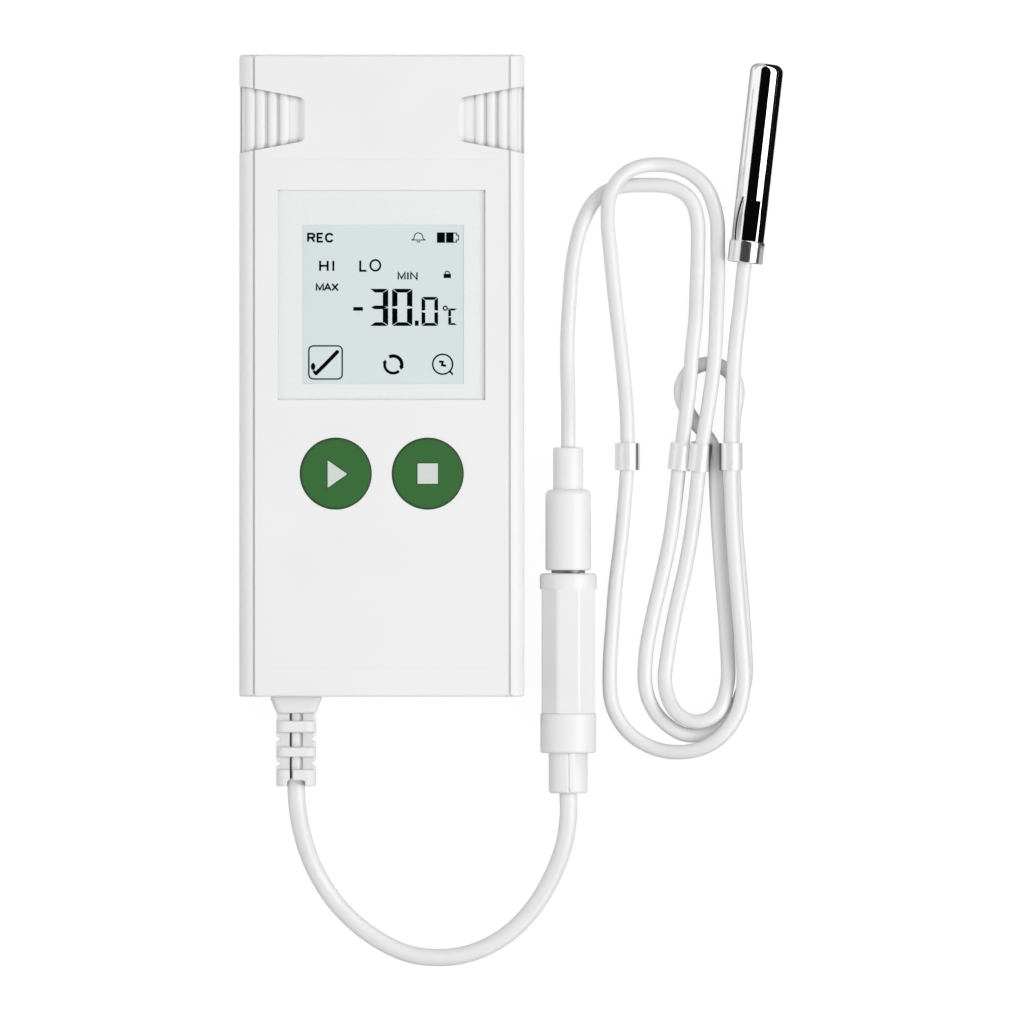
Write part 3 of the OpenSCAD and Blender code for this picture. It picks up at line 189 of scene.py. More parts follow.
class Field:
    """A value in a node tree. Python's operators on it add Math nodes."""

    def __init__(self, paint, socket):
        self.paint = paint
        self.socket = socket

    def _sum(self, operation, first, second=None):
        return self.paint.node("ShaderNodeMath", {"operation": operation}, first, second)

    def __add__(self, other):
        return self._sum("ADD", self, other)

    def __sub__(self, other):
        return self._sum("SUBTRACT", self, other)

    def __rsub__(self, other):
        return self._sum("SUBTRACT", other, self)

    def __mul__(self, other):
        return self._sum("MULTIPLY", self, other)

    def __truediv__(self, other):
        return self._sum("DIVIDE", self, other)

    def __gt__(self, other):
        return self._sum("GREATER_THAN", self, other)

    def __lt__(self, other):
        return self._sum("LESS_THAN", self, other)

    def __abs__(self):
        return self._sum("ABSOLUTE", self)

    __radd__ = __add__
    __rmul__ = __mul__


class Paint:
    """A node tree that is built by calls.

    node() adds any node. Values in a row or in at go to sockets by number.
    """

    def __init__(self, owner):
        owner.use_nodes = True
        self.owner = owner
        self.tree = owner.node_tree

    def node(self, kind, settings=None, *values, output=0, at=None, **named):
        made = self.tree.nodes.new(kind)
        for key, value in (settings or {}).items():
            setattr(made, key, value)
        for place, value in [*enumerate(values), *(at or {}).items(), *named.items()]:
            self.join(made.inputs[place], value)
        return Field(self, made.outputs[output])

    def join(self, socket, value):
        if isinstance(value, Field):
            self.tree.links.new(value.socket, socket)
        elif value is not None:
            socket.default_value = value

    def where(self):
        return self.node("ShaderNodeTexCoord", output="Object")

    def along(self, place, axis):
        return self.node("ShaderNodeSeparateXYZ", None, place, output="XYZ".index(axis))

    def noise(self, place, size, detail=2.0):
        return self.node("ShaderNodeTexNoise", None, Vector=place, Scale=1 / size,
                         Detail=detail)

    def fade(self, value, start, end, first, last):
        """Goes from first to last as the value goes from start to end."""
        return self.node("ShaderNodeMapRange", None, value, start, end, first, last)

    def spread(self, value, low, high):
        """Moves a noise's usual span of values to low and high."""
        return self.fade(value, 0.3, 0.7, low, high)

    def blend(self, share, first, second):
        """Goes from the first colour to the second as share goes from 0 to 1."""
        return self.node("ShaderNodeMix", {"data_type": "RGBA"}, output=2,
                         at={0: share, 6: first, 7: second})

    def bump(self, height, strength, depth):
        return self.node("ShaderNodeBump", None, Strength=strength, Distance=depth,
                         Height=height)


def paint_for(name):
    """A new material's node tree, and the places on its surface."""
    paint = Paint(bpy.data.materials.new(name))
    return paint, paint.where()


def finish_paint(paint, **sockets):
    """Sets or links the shader's sockets, whose names are written with underscores."""
    for name, value in sockets.items():
        paint.join(paint.tree.nodes["Principled BSDF"].inputs[name.replace("_", " ")], value)
    return paint.owner


def tinted(colour, factor):
    return tuple(part * factor for part in colour[:3]) + (1,)


def moulded(name, colour, roughness=0.45, grain=0.22 * MM, relief=0.008 * MM, mottle=0.012,
            gloss=0.35, crevice_shade=0.0):
    """Moulded plastic with a fine grain, faint flow marks and an uneven sheen.

    Given a share of crevice shade, its grooves and inner corners get painted shade from an
    occlusion node, up to that share of dark grey.
    """
    paint, place = paint_for(name)
    fine = paint.noise(place, grain, detail=3.0)
    flow = paint.noise(place, 14 * MM, detail=1.0)
    share = paint.spread(flow + (fine - 0.5) * 0.5, 0.0, 1.0)
    colours = paint.blend(share, tinted(colour, 1 - mottle), tinted(colour, 1 + mottle))
    # Painted shade: grooves and inner corners darken where an occlusion node finds them closed in.
    if crevice_shade:
        openness = paint.node("ShaderNodeAmbientOcclusion", {"samples": 8, "only_local": True},
                              output="AO", Distance=1.0 * MM)
        depth = paint.fade(openness, 0.5, 0.93, crevice_shade, 0.0)
        colours = paint.blend(depth, colours, tinted(colour, 0.25))
    return finish_paint(
        paint,
        Base_Color=colours,
        Roughness=paint.spread(fine, roughness - 0.06, roughness + 0.06),
        Specular_IOR_Level=gloss,
        Normal=paint.bump(fine, 0.25, relief))


def soft_jacket(name, colour, shaded=False):
    """A cable's soft jacket: faint ripples of the extrusion and a dusty sheen.

    Where it is shaded, its left side is painted near black as far as the boot covers it: a painted
    shadow of the gap beside it in the boot's slots.
    """
    paint, place = paint_for(name)
    ripple = paint.noise(place, 1.3 * MM, detail=1.0)
    fine = paint.noise(place, 0.1 * MM, detail=2.0)
    colours = paint.blend(ripple, tinted(colour, 0.975), tinted(colour, 1.01))
    if shaded:
        # Painted shadow: the lead's left side darkens inside the boot's slots.
        shadow_full, shadow_gone = -0.7 * MM, -0.56 * MM
        slots_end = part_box("strain_relief")[0].y + 1.2 * MM
        off = paint.along(place, "X") - LEAD_ROUTE[0][0] * MM
        slot_shadow = paint.fade(off, shadow_full, shadow_gone, 1.0, 0.0) * (paint.along(place, "Y") > slots_end)
        colours = paint.blend(slot_shadow, colours, (0.09, 0.09, 0.09, 1))
    return finish_paint(
        paint,
        Base_Color=colours,
        Roughness=paint.spread(ripple, 0.3, 0.38),
        Specular_IOR_Level=0.65,
        Normal=paint.bump(ripple * 0.6 + fine * 0.4, 0.15, 0.02 * MM))


def metal(name, colour, roughness, shine=1.0):
    """Bare metal with fine scratches and faint wear."""
    paint, place = paint_for(name)
    lines = paint.noise(place, 0.12 * MM, detail=3.0)
    smudge = paint.noise(place, 4 * MM, detail=2.0)
    return finish_paint(
        paint,
        Base_Color=paint.blend(smudge, tinted(colour, 0.96), tinted(colour, 1)),
        Metallic=shine,
        Roughness=paint.spread(smudge * 0.5 + lines * 0.5, roughness * 0.75, roughness * 1.3),
        Normal=paint.bump(lines, 0.2, 0.001 * MM))


def probe_place(paint):
    """Places measured across and along the probe, from where its collar begins."""
    return paint.node("ShaderNodeMapping", {"vector_type": "TEXTURE"}, paint.where(),
                      Location=(*PROBE_END, 0), Rotation=(0, 0, PROBE_TURN))


def polished_tube(name, colour):
    """Polished steel with faint drawn lines, and the bent crease of the crimp in its left: a real
    dent, painted near black as a painted dark reflection.
    """
    paint, place = paint_for(name)
    probe = probe_place(paint)
    across = paint.along(probe, "X") / MM
    above = (paint.along(probe, "Y") - COLLAR) / MM
    start, end = 0.3, 7.2
    lowest, left, rate = 2.5, 1.95, 0.025
    bend = (above - lowest) * (above - lowest) * rate - left
    # The crease is painted near black, a painted dark reflection; its bump is real.
    line = paint.fade(abs(across - bend), 0.09, 0.18, 1.0, 0.0)
    crease_and_dark_reflection = line * (above > start) * (above < end)
    drawn = paint.node("ShaderNodeMapping", None, probe, Scale=(1, 0.05, 1))
    lines = paint.noise(drawn, 0.12 * MM, detail=3.0)
    smudge = paint.noise(place, 4 * MM, detail=2.0)
    bright = paint.blend(smudge, tinted(colour, 0.98), colour)
    return finish_paint(
        paint,
        Base_Color=paint.blend(crease_and_dark_reflection, bright, (0.01, 0.01, 0.012, 1)),
        Metallic=1.0,
        Roughness=paint.spread(smudge * 0.5 + lines * 0.5, 0.035, 0.065),
        Normal=paint.bump(lines * 0.1 - crease_and_dark_reflection, 0.3, 0.02 * MM))


def clip_tin(node, colour, seam):
    """Thin tinned sheet, with the dark seam where the sheet's end laps over itself, and painted
    shade in a grey band beside the seam.
    """
    paint, place = paint_for("Clip metal " + node[-1])
    low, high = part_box(node)
    off = abs((paint.along(place, "X") - low.x) / (high.x - low.x) - seam)
    upper = paint.along(place, "Z") > (low.z + high.z) / 2
    line = paint.fade(off, 0.02, 0.05, 1.0, 0.0)
    # Painted shade: a grey band on both sides of the seam; the thin dark line is the real seam.
    lap_shade = paint.fade(off, 0.05, 0.14, 0.35, 0.0)
    smudge = paint.noise(place, 2 * MM, detail=1.0)
    bright = paint.blend(smudge, tinted(colour, 0.96), tinted(colour, 1.0))
    return finish_paint(
        paint,
        Base_Color=paint.blend(line * upper + lap_shade, bright, (0.12, 0.12, 0.125, 1)),
        Metallic=0.25,
        Roughness=paint.spread(smudge, 0.3, 0.36),
        Normal=paint.bump(0 - line, 0.3, 0.03 * MM))


def printed(name, colour, roughness=0.5, gloss=0.3):
    """Ink or film, with a faint unevenness in its cover."""
    paint, place = paint_for(name)
    cover = paint.noise(place, 0.5 * MM, detail=2.0)
    return finish_paint(
        paint,
        Base_Color=paint.blend(cover, tinted(colour, 0.97), tinted(colour, 1.03)),
        Roughness=paint.spread(cover, roughness - 0.05, roughness + 0.05),
        Specular_IOR_Level=gloss)


def board_mask(name):
    """Green solder mask with faint tracks under it."""
    paint, place = paint_for(name)
    tracks = paint.node("ShaderNodeTexWave", {"wave_type": "BANDS", "bands_direction": "X"},
                        Vector=place, Scale=0.25 / (1.1 * MM), Distortion=3.0, Detail=1.0)
    copper = paint.fade(tracks, 0.78, 0.84, 0.0, 1.0)
    return finish_paint(
        paint,
        Base_Color=paint.blend(copper, (0.015, 0.09, 0.04, 1), (0.03, 0.16, 0.07, 1)),
        Roughness=0.3,
        Coat_Weight=0.4,
        Normal=paint.bump(copper, 0.4, 0.02 * MM))


def clear_pane(name):
    """A clear pane: mostly see-through, with a faint tint and a hard gloss."""
    paint, place = paint_for(name)
    haze = paint.noise(place, 9 * MM, detail=1.0)
    return finish_paint(
        paint,
        Base_Color=(0.02, 0.022, 0.022, 1),
        Roughness=paint.spread(haze, 0.03, 0.07),
        Alpha=0.008)


def key_green(name, colour, centre):
    """Green film over a key, with painted shade where it turns down at the rim."""
    paint, place = paint_for(name + " film")
    flat_r, rim_r = 5.0 * MM, 5.2 * MM
    across = paint.along(place, "X") - centre.x
    along = paint.along(place, "Y") - centre.y
    away = paint.node("ShaderNodeMath", {"operation": "SQRT"}, across * across + along * along)
    # Painted shade: the film darkens over its rim.
    rim = paint.fade(away, flat_r, rim_r, 0.0, 1.0)
    fine = paint.noise(place, 0.2 * MM, detail=2.0)
    return finish_paint(
        paint,
        Base_Color=paint.blend(rim, colour, tinted(colour, 0.6)),
        Roughness=paint.spread(fine, 0.42, 0.54),
        Specular_IOR_Level=0.3,
        Normal=paint.bump(fine, 0.2, 0.004 * MM))


def display_field(name, colour):
    """The display's reflective field, a little darker towards its edges."""
    paint, place = paint_for(name)
    low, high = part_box("lcd_panel")
    across = abs(paint.along(place, "X") * (2 / (high.x - low.x)))
    fine = paint.noise(place, 0.12 * MM, detail=2.0)
    edge = paint.fade(across, 0.4, 1.0, 0.0, 0.5)
    return finish_paint(
        paint,
        Base_Color=paint.blend(edge + (fine - 0.5) * 0.3, tinted(colour, 1.0),
                               tinted(colour, 0.965)),
        Roughness=0.4,
        Specular_IOR_Level=0.2)


def into_mesh(name, shape, angle=35):
    """Ends a bmesh as a smooth mesh, with edges past the angle left sharp."""
    mesh = bpy.data.meshes.new(name)
    shape.to_mesh(mesh)
    shape.free()
    mesh.shade_smooth()
    mesh.set_sharp_from_angle(angle=math.radians(angle))
    return mesh


def add_piece(name, data, material, body):
    """Puts finished data into the scene, riding on a body."""
    data.materials.append(material)
    piece = bpy.data.objects.new(name, data)
    bpy.context.scene.collection.objects.link(piece)
    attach(piece, body)
    return piece


def add_drawn(name, shape, material, body, angle=35):
    """Adds a bmesh drawn in millimetres: merged, turned outwards and scaled to metres."""
    bmesh.ops.remove_doubles(shape, verts=shape.verts, dist=1e-5)
    bmesh.ops.recalc_face_normals(shape, faces=shape.faces)
    bmesh.ops.scale(shape, vec=(MM, MM, MM), verts=shape.verts)
    return add_piece(name, into_mesh(name, shape, angle), material, body)


def end_rim(shape, node):
    """The sharp edges round both ends of a half of the case, without its openings."""
    low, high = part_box(node)
    near = 0.02 * MM

    def outside(place):
        return (min(place.y - low.y, high.y - place.y) < near
                and (min(place.x - low.x, high.x - place.x) < near
                     or place.z > SIDE_TOP or place.z < SIDE_LOW))

    return [edge for edge in shape.edges
            if all(outside(v.co) for v in edge.verts) and edge.calc_face_angle(0) > 0.3
            and any(abs(v.co.z - PARTING) > near for v in edge.verts)]


def softened(node, width, material, body, angle=32, corner=0):
    """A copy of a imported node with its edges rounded, which then stands for it."""
    shape = bmesh.new()
    shape.from_mesh(NODES[node].data)
    bmesh.ops.remove_doubles(shape, verts=shape.verts, dist=SAME_PLACE)
    bmesh.ops.dissolve_limit(shape, angle_limit=SAME_PLANE, verts=shape.verts,
                             edges=shape.edges)
    if corner:
        bmesh.ops.bevel(shape, geom=end_rim(shape, node), offset=corner, segments=5,
                        profile=0.5, affect="EDGES", clamp_overlap=False, material=-1)
    name = node + "_finish"
    piece = add_piece(name, into_mesh(name, shape, angle), material, body)
    if width:
        rounding = piece.modifiers.new("Rounding", "BEVEL")
        rounding.width = width
        rounding.segments = 3
        rounding.limit_method = "ANGLE"
        rounding.angle_limit = math.radians(angle)
    even = piece.modifiers.new("Even shading", "WEIGHTED_NORMAL")
    even.keep_sharp = True
    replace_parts(piece, node)
    return piece


def repaint(node, material):
    """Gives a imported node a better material."""
    slots = NODES[node].material_slots
    if not slots:
        NODES[node].data.materials.append(material)
    for place in slots:
        place.material = material


def spread_film(node, reach, material, sides="ENSW"):
    """A copy of a packed film whose outer edge meets its recess, which then stands for it."""
    low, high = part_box(node)
    margin = 2.5 * MM
    clearance = 0.02 * MM
    ring = 0.5 * MM
    shape = bmesh.new()
    shape.from_mesh(NODES[node].data)
    for corner in shape.verts:
        for axis, names in ((0, "WE"), (1, "SN")):
            middle = (low[axis] + high[axis]) / 2
            off = corner.co[axis] - middle
            share = (abs(off) - (high[axis] - middle) + margin) / margin
            if share > 0 and names[off > 0] in sides:
                corner.co[axis] += math.copysign(reach * min(1, share), off)
        for key in ("start_button", "stop_button"):
            key_low, key_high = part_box(key)
            away = (corner.co - (key_low + key_high) / 2).to_2d()
            rim = (key_high.x - key_low.x) / 2 + clearance
            if rim < away.length < rim + ring:
                corner.co.xy += away * (rim / away.length - 1)
    name = node + "_finish"
    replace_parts(add_piece(name, into_mesh(name, shape), material, "logger"), node)


def plate(shape, outline, z, depth):
    """A flat plate with a given outline, its lower face at z."""
    face = shape.faces.new([shape.verts.new((x, y, z)) for x, y in outline])
    thicken(shape, [face], depth)


def thicken(shape, faces, depth):
    """Gives flat faces a thickness, upwards."""
    raised = bmesh.ops.extrude_face_region(shape, geom=faces)["geom"]
    bmesh.ops.translate(shape, vec=(0, 0, depth),
                        verts=[v for v in raised if isinstance(v, bmesh.types.BMVert)])


def rounded(corners, radius, steps=4):
    """The corners of an outline, each rounded."""
    outline = []
    for place, here in enumerate(corners):
        here = Vector(here)
        before = Vector(corners[place - 1])
        after = Vector(corners[(place + 1) % len(corners)])
        arrive = here + (before - here).normalized() * radius
        leave = here + (after - here).normalized() * radius
        for step in range(steps + 1):
            t = step / steps
            point = arrive * (1 - t) ** 2 + here * 2 * t * (1 - t) + leave * t ** 2
            outline.append((point.x, point.y))
    return outline


def ribbon(shape, points, width, z, depth, closed=False):
    """A flat ribbon of even width along a line of points."""
    line = [Vector(point) for point in points]
    last = len(line) - 1
    rails = []
    for place, here in enumerate(line):
        before = line[place - 1] if closed or place else here
        after = line[(place + 1) % len(line)] if closed or place < last else here
        arrive = (here - before).normalized()
        leave = (after - here).normalized()
        arrive = arrive if arrive.length else leave
        along = (arrive + (leave if leave.length else arrive)).normalized()
        side = along.orthogonal() * (width / 2 / max(0.5, along.dot(arrive)))
        rails.append([shape.verts.new((*(here + side), z)), shape.verts.new((*(here - side), z))])
    pairs = list(zip(rails, rails[1:]))
    if closed:
        pairs.append((rails[-1], rails[0]))
    faces = [shape.faces.new((a[0], a[1], b[1], b[0])) for a, b in pairs]
    thicken(shape, faces, depth)


def arc(centre, radius, start, end, steps=24, squash=1.0):
    """Points on an arc, from one angle to another in degrees."""
    turns = [math.radians(start + (end - start) * k / steps) for k in range(steps + 1)]
    return [(centre[0] + radius * math.cos(t), centre[1] + radius * squash * math.sin(t))
            for t in turns]


def round_box(low_x, low_y, high_x, high_y, radius):
    """Points round a box with rounded corners."""
    corners = [((high_x - radius, high_y - radius), 0), ((low_x + radius, high_y - radius), 90),
               ((low_x + radius, low_y + radius), 180), ((high_x - radius, low_y + radius), 270)]
    return [p for centre, turn in corners for p in arc(centre, radius, turn, turn + 90, 5)]


def smooth_point(before, here, after, beyond, share):
    """A point of a smooth route, never lower than both of its neighbours."""
    point = (2 * here + (after - before) * share
             + (2 * before - 5 * here + 4 * after - beyond) * share ** 2
             + (3 * here - before - 3 * after + beyond) * share ** 3) / 2
    point.z = max(point.z, min(here.z, after.z))
    return point


def smooth_route(points, steps):
    """A smooth route through points in millimetres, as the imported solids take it."""
    line = [Vector(p) * MM for p in points]
    ends = [2 * line[0] - line[1], *line, 2 * line[-1] - line[-2]]
    route = [smooth_point(*ends[k:k + 4], step / steps)
             for k in range(len(ends) - 3) for step in range(steps)]
    return [*route, line[-1]]


def route_length(route):
    return sum((b - a).length for a, b in zip(route, route[1:]))


def cord_curve(name, route, diameter, material, body):
    """A round cord along a route, as one open spline."""
    curve = bpy.data.curves.new(name, "CURVE")
    curve.dimensions = "3D"
    spline = curve.splines.new("POLY")
    spline.points.add(len(route) - 1)
    for knot, point in zip(spline.points, route):
        knot.co = (*point, 1)
    spline.use_smooth = True
    curve.bevel_depth = diameter / 2
    curve.bevel_resolution = 5
    curve.use_fill_caps = True
    return add_piece(name, curve, material, body)


# Letters as strokes in a box one wide and one high, measured down from its upper left corner
LETTERS = {
    "A": [[(0, 1), (0.5, 0), (1, 1)], [(0.2, 0.64), (0.8, 0.64)]],
    "C": [[(0.97, 0.24), (0.8, 0.06), (0.5, 0), (0.2, 0.08), (0.02, 0.32), (0.02, 0.68),
           (0.2, 0.92), (0.5, 1), (0.8, 0.94), (0.97, 0.76)]],
    "E": [[(1, 0), (0, 0), (0, 1), (1, 1)], [(0, 0.5), (0.85, 0.5)]],
    "H": [[(0, 0), (0, 1)], [(1, 0), (1, 1)], [(0, 0.5), (1, 0.5)]],
    "I": [[(0, 0), (0, 1)]],
    "L": [[(0, 0), (0, 1), (1, 1)]],
    "M": [[(0, 1), (0, 0), (0.5, 0.85), (1, 0), (1, 1)]],
    "N": [[(0, 1), (0, 0), (1, 1), (1, 0)]],
    "R": [[(0, 1), (0, 0), (0.7, 0), (0.97, 0.12), (0.97, 0.38), (0.7, 0.5), (0, 0.5)],
          [(0.55, 0.5), (1, 1)]],
    "X": [[(0, 0), (1, 1)], [(1, 0), (0, 1)]],
}

# Segments of a digit, clockwise from the top, then the middle one
DIGITS = {"0": "abcdef", "3": "abgcd", "C": "afed"}


def on_display(points):
    """Places that are measured right and down from the display's upper left corner."""
    return [(LCD_LEFT + x, LCD_HIGH - y) for x, y in points]


def draw_words(shape, depth):
    """The words beside the reading, each letter with its place, size and stroke."""
    for letter, left, top, width, height, stroke in (
            ("R", 0.87, 1.35, 0.95, 1.2, 0.3), ("E", 2.3, 1.35, 0.8, 1.2, 0.3),
            ("C", 3.55, 1.35, 1.05, 1.2, 0.3),
            ("H", 2.68, 5.44, 1.15, 1.52, 0.3), ("I", 4.68, 5.44, 1.0, 1.52, 0.3),
            ("L", 8.75, 5.4, 0.95, 1.55, 0.3),
            ("M", 14.5, 7.2, 1.0, 1.05, 0.23), ("I", 15.95, 7.2, 1.0, 1.05, 0.24),
            ("N", 16.4, 7.2, 0.92, 1.05, 0.23),
            ("M", 2.14, 8.93, 1.0, 1.0, 0.25), ("A", 3.35, 8.93, 0.95, 1.0, 0.25),
            ("X", 4.5, 8.93, 0.88, 1.0, 0.25)):
        for line in LETTERS[letter]:
            points = [(left + x * width, top + y * height) for x, y in line]
            ribbon(shape, on_display(points), stroke, LCD_TOP, depth)
    ribbon(shape, on_display(arc((11.03, 6.13), 0.76, 0, 345, 23, squash=1.07)), 0.28,
           LCD_TOP, depth, closed=True)


def segment_outlines(left, top, width, height, thick, rise, gap):
    """Outlines of a digit's segments, thick across its sides and rise across its bars."""
    right, low, middle = left + width, top + height, top + height / 2
    inset, drop, half = left + thick, top + rise, rise / 2
    bars = {
        "a": [(left + gap, top), (right - gap, top), (right - thick, drop), (inset, drop)],
        "d": [(inset, low - rise), (right - thick, low - rise), (right - gap, low),
              (left + gap, low)],
        "g": [(left + gap * 2, middle), (inset, middle - half),
              (right - thick, middle - half), (right - gap * 2, middle),
              (right - thick, middle + half), (inset, middle + half)],
    }
    for name, outer, inner in (("f", left, inset), ("b", right, right - thick)):
        bars[name] = [(outer, top + gap), (inner, drop + gap), (inner, middle - gap - half / 2),
                      (outer, middle - gap)]
    for name, outer, inner in (("e", left, inset), ("c", right, right - thick)):
        bars[name] = [(outer, middle + gap), (inner, middle + gap + half / 2),
                      (inner, low - rise - gap), (outer, low - gap)]
    return bars


def draw_digit(shape, digit, left, top, width, height, thick, rise, depth, gap=0.09):
    outlines = segment_outlines(left, top, width, height, thick, rise, gap)
    for name in DIGITS[digit]:
        plate(shape, on_display(outlines[name]), LCD_TOP, depth)


def draw_reading(shape, depth):
    """The reading in segments: its sign, digits, point and unit."""
    for left, top, wide, tall in ((7.7, 12.43, 1.46, 0.55), (17.0, 14.47, 0.57, 0.79)):
        plate(shape, on_display([(left, top), (left + wide, top), (left + wide, top + tall),
                                 (left, top + tall)]), LCD_TOP, depth)
    draw_digit(shape, "3", 10.18, 9.68, 2.79, 5.6, 0.8, 0.55, depth)
    draw_digit(shape, "0", 13.57, 9.68, 3.05, 5.6, 0.8, 0.55, depth)
    draw_digit(shape, "0", 18.02, 10.9, 2.49, 4.38, 0.55, 0.45, depth)
    draw_digit(shape, "C", 22.06, 12.66, 1.33, 2.48, 0.42, 0.29, depth, gap=0.03)
    ribbon(shape, on_display(arc((21.6, 12.6), 0.3, 0, 340, 17)), 0.2, LCD_TOP, depth,
           closed=True)


def draw_signs(shape, depth):
    """The signs round the display's edge."""
    def line(points, width, closed=False):
        ribbon(shape, on_display(points), width, LCD_TOP, depth, closed)

    def block(points):
        plate(shape, on_display(points), LCD_TOP, depth)

    def blob(x, y, wide, tall):
        block([(x + wide * math.cos(t / 8 * math.pi), y + tall * math.sin(t / 8 * math.pi))
               for t in range(16)])

    line(round_box(0.98, 18.3, 6.02, 23.3, 0.68), 0.21, closed=True)
    line([(2.08, 22.45), (3.6, 20.95), (5.28, 19.2)], 0.56)
    line([(1.74, 22.0), (1.8, 22.3), (2.08, 22.5)], 0.34)
    for x, y, wide, tall in ((5.28, 19.2, 0.28, 0.28), (2.08, 22.45, 0.29, 0.29),
                             (1.62, 21.42, 0.34, 0.54)):
        blob(x, y, wide, tall)
    centre = (13.73, 21.12)
    for start, end, width, wide in ((-118, 12, 0.52, 0.85), (48, 190, 0.42, 0.75)):
        line(arc(centre, 1.3, start, end, 18), width)
        turn = math.radians(end)
        tip = Vector((centre[0] + 1.3 * math.cos(turn), centre[1] + 1.3 * math.sin(turn)))
        along = Vector((-math.sin(turn), math.cos(turn)))
        out = Vector((math.cos(turn), math.sin(turn))) * wide / 2
        block([tip - out, tip + along * 0.55, tip + out])
    line(arc((21.2, 21.07), 1.5, 0, 350, 35), 0.24, closed=True)
    line([(22.25, 22.1), (22.75, 22.65)], 0.28)
    line([(20.66, 20.66), (21.2, 20.72), (21.1, 21.2), (21.72, 21.32)], 0.34)
    for low_x, high_x in ((20.34, 21.55), (21.72, 22.85)):
        block([(low_x, 1.15), (high_x, 1.15), (high_x, 2.72), (low_x, 2.72)])
    line([(22.85, 1.24), (23.28, 1.24), (23.28, 1.55), (23.58, 1.55), (23.58, 2.3),
          (23.28, 2.3), (23.28, 2.62), (22.85, 2.62)], 0.14)
    line([(16.5, 2.3), (16.85, 2.1), (16.95, 1.6), (17.2, 1.3), (17.55, 1.2), (17.9, 1.3),
          (18.15, 1.6), (18.25, 2.1), (18.6, 2.3)], 0.13)
    line([(16.5, 2.3), (18.6, 2.3)], 0.13)
    line(arc((17.55, 2.42), 0.2, 0, 180, 8), 0.12)
    block([(21.35, 7.4), (22.45, 7.4), (22.45, 8.05), (21.35, 8.05)])
    line(arc((21.9, 7.35), 0.32, 180, 360, 10), 0.16)


def chosen(context):
    """The sizes and colours that are set in the scene."""
    return context.scene.logger_sizes, context.scene.logger_colours


def flat_sheet(name, low, high, z, material):
    """A level sheet of the studio, which is no part of the logger."""
    shape = bmesh.new()
    bmesh.ops.create_grid(shape, x_segments=1, y_segments=1, size=0.5)
    bmesh.ops.scale(shape, vec=(high[0] - low[0], high[1] - low[1], 1), verts=shape.verts)
    middle = ((low[0] + high[0]) / 2, (low[1] + high[1]) / 2, z)
    bmesh.ops.translate(shape, vec=middle, verts=shape.verts)
    mesh = into_mesh(name, shape)
    mesh.materials.append(material)
    sheet = bpy.data.objects.new(name, mesh)
    bpy.context.scene.collection.objects.link(sheet)
    return sheet


def bare_paint(name):
    """A new material's node tree without its usual shader."""
    paint = Paint(bpy.data.materials.new(name))
    paint.tree.nodes.remove(paint.tree.nodes["Principled BSDF"])
    return paint


def end_paint(paint, shader):
    """Puts a shader on the surface."""
    paint.join(paint.tree.nodes["Material Output"].inputs["Surface"], shader)
    return paint.owner


def straight_rays(paint):
    """One for rays that reach the camera, also through a clear pane."""
    return (paint.node("ShaderNodeLightPath", output="Is Camera Ray")
            + paint.node("ShaderNodeLightPath", output="Is Transmission Ray"))


def floor_paint():
    """Paper that the camera sees as white, with soft shadows, and that throws little light."""
    paint = bare_paint("Studio floor")
    seen = straight_rays(paint)
    fibre = paint.noise(paint.where(), 3 * MM, detail=2.0)
    white = paint.blend(fibre, (0.79, 0.79, 0.79, 1), (0.81, 0.81, 0.81, 1))
    paper = paint.blend(seen, (0.56, 0.56, 0.56, 1), white)
    matt = paint.node("ShaderNodeBsdfDiffuse", None, paper)
    bright = paint.node("ShaderNodeEmission", None, Color=(1, 1, 1, 1), Strength=1.05)
    lit = paint.node("ShaderNodeMixShader", None, 0.9, matt, bright)
    return end_paint(paint, paint.node("ShaderNodeMixShader", None, seen, matt, lit))


def probe_card(name, near, far, low, high, level, material):
    """A card on the floor along the probe, which only bare metal and gloss see."""
    card = flat_sheet(name, (near * MM, low * MM), (far * MM, high * MM), level * MM, material)
    turn = Matrix.Translation((*PROBE_END, 0)) @ Matrix.Rotation(PROBE_TURN, 4, "Z")
    card.data.transform(turn)
    for rays in ("camera", "diffuse", "shadow", "transmission"):
        setattr(card, "visible_" + rays, False)


def card_paint(name, grey, far_grey):
    """Card that goes from one grey beside the probe to another 14 mm off, in any light."""
    paint = bare_paint(name + " card")
    off = abs(paint.along(probe_place(paint), "X"))
    share = paint.fade(off, 3 * MM, 14 * MM, 0.0, 1.0)
    paper = paint.blend(share, (grey,) * 3 + (1,), (far_grey,) * 3 + (1,))
    return end_paint(paint, paint.node("ShaderNodeEmission", None, paper))


def studio_light(world, sky):
    """Light that fades to the horizon, seen white by the camera, with dark screens in gloss."""
    paint = Paint(world)
    toward = paint.node("ShaderNodeTexCoord", output="Generated")
    turn = paint.node("ShaderNodeMath", {"operation": "ARCTAN2"},
                      paint.along(toward, "X"), paint.along(toward, "Z"))
    degrees = turn * (180 / math.pi)

    def between(start, end):
        return (degrees > start) * (degrees < end)

    softbox = paint.blend(between(31.0, 74.0), (1, 1, 1, 1), (2.4, 2.4, 2.4, 1))
    dark = between(-40.0, 31.0) + between(74.0, 120.0)
    screens = paint.blend(dark, softbox, (0.002, 0.002, 0.002, 1))
    dome = paint.fade(paint.along(toward, "Z"), 0.0, 0.6, sky * 0.45, sky)
    gloss = paint.blend(paint.node("ShaderNodeLightPath", output="Is Glossy Ray"), dome, screens)
    seen = paint.blend(straight_rays(paint), gloss, (1, 1, 1, 1))
    paint.join(paint.tree.nodes["Background"].inputs["Color"], seen)


def lamp(name, place, aim, size, power):
    """A soft square lamp that points at a place."""
    data = bpy.data.lights.new(name, "AREA")
    data.size = size
    data.energy = power
    light = bpy.data.objects.new(name, data)
    light.location = place
    light.rotation_euler = (Vector(aim) - Vector(place)).to_track_quat("-Z", "Y").to_euler()
    light.visible_glossy = False
    bpy.context.scene.collection.objects.link(light)


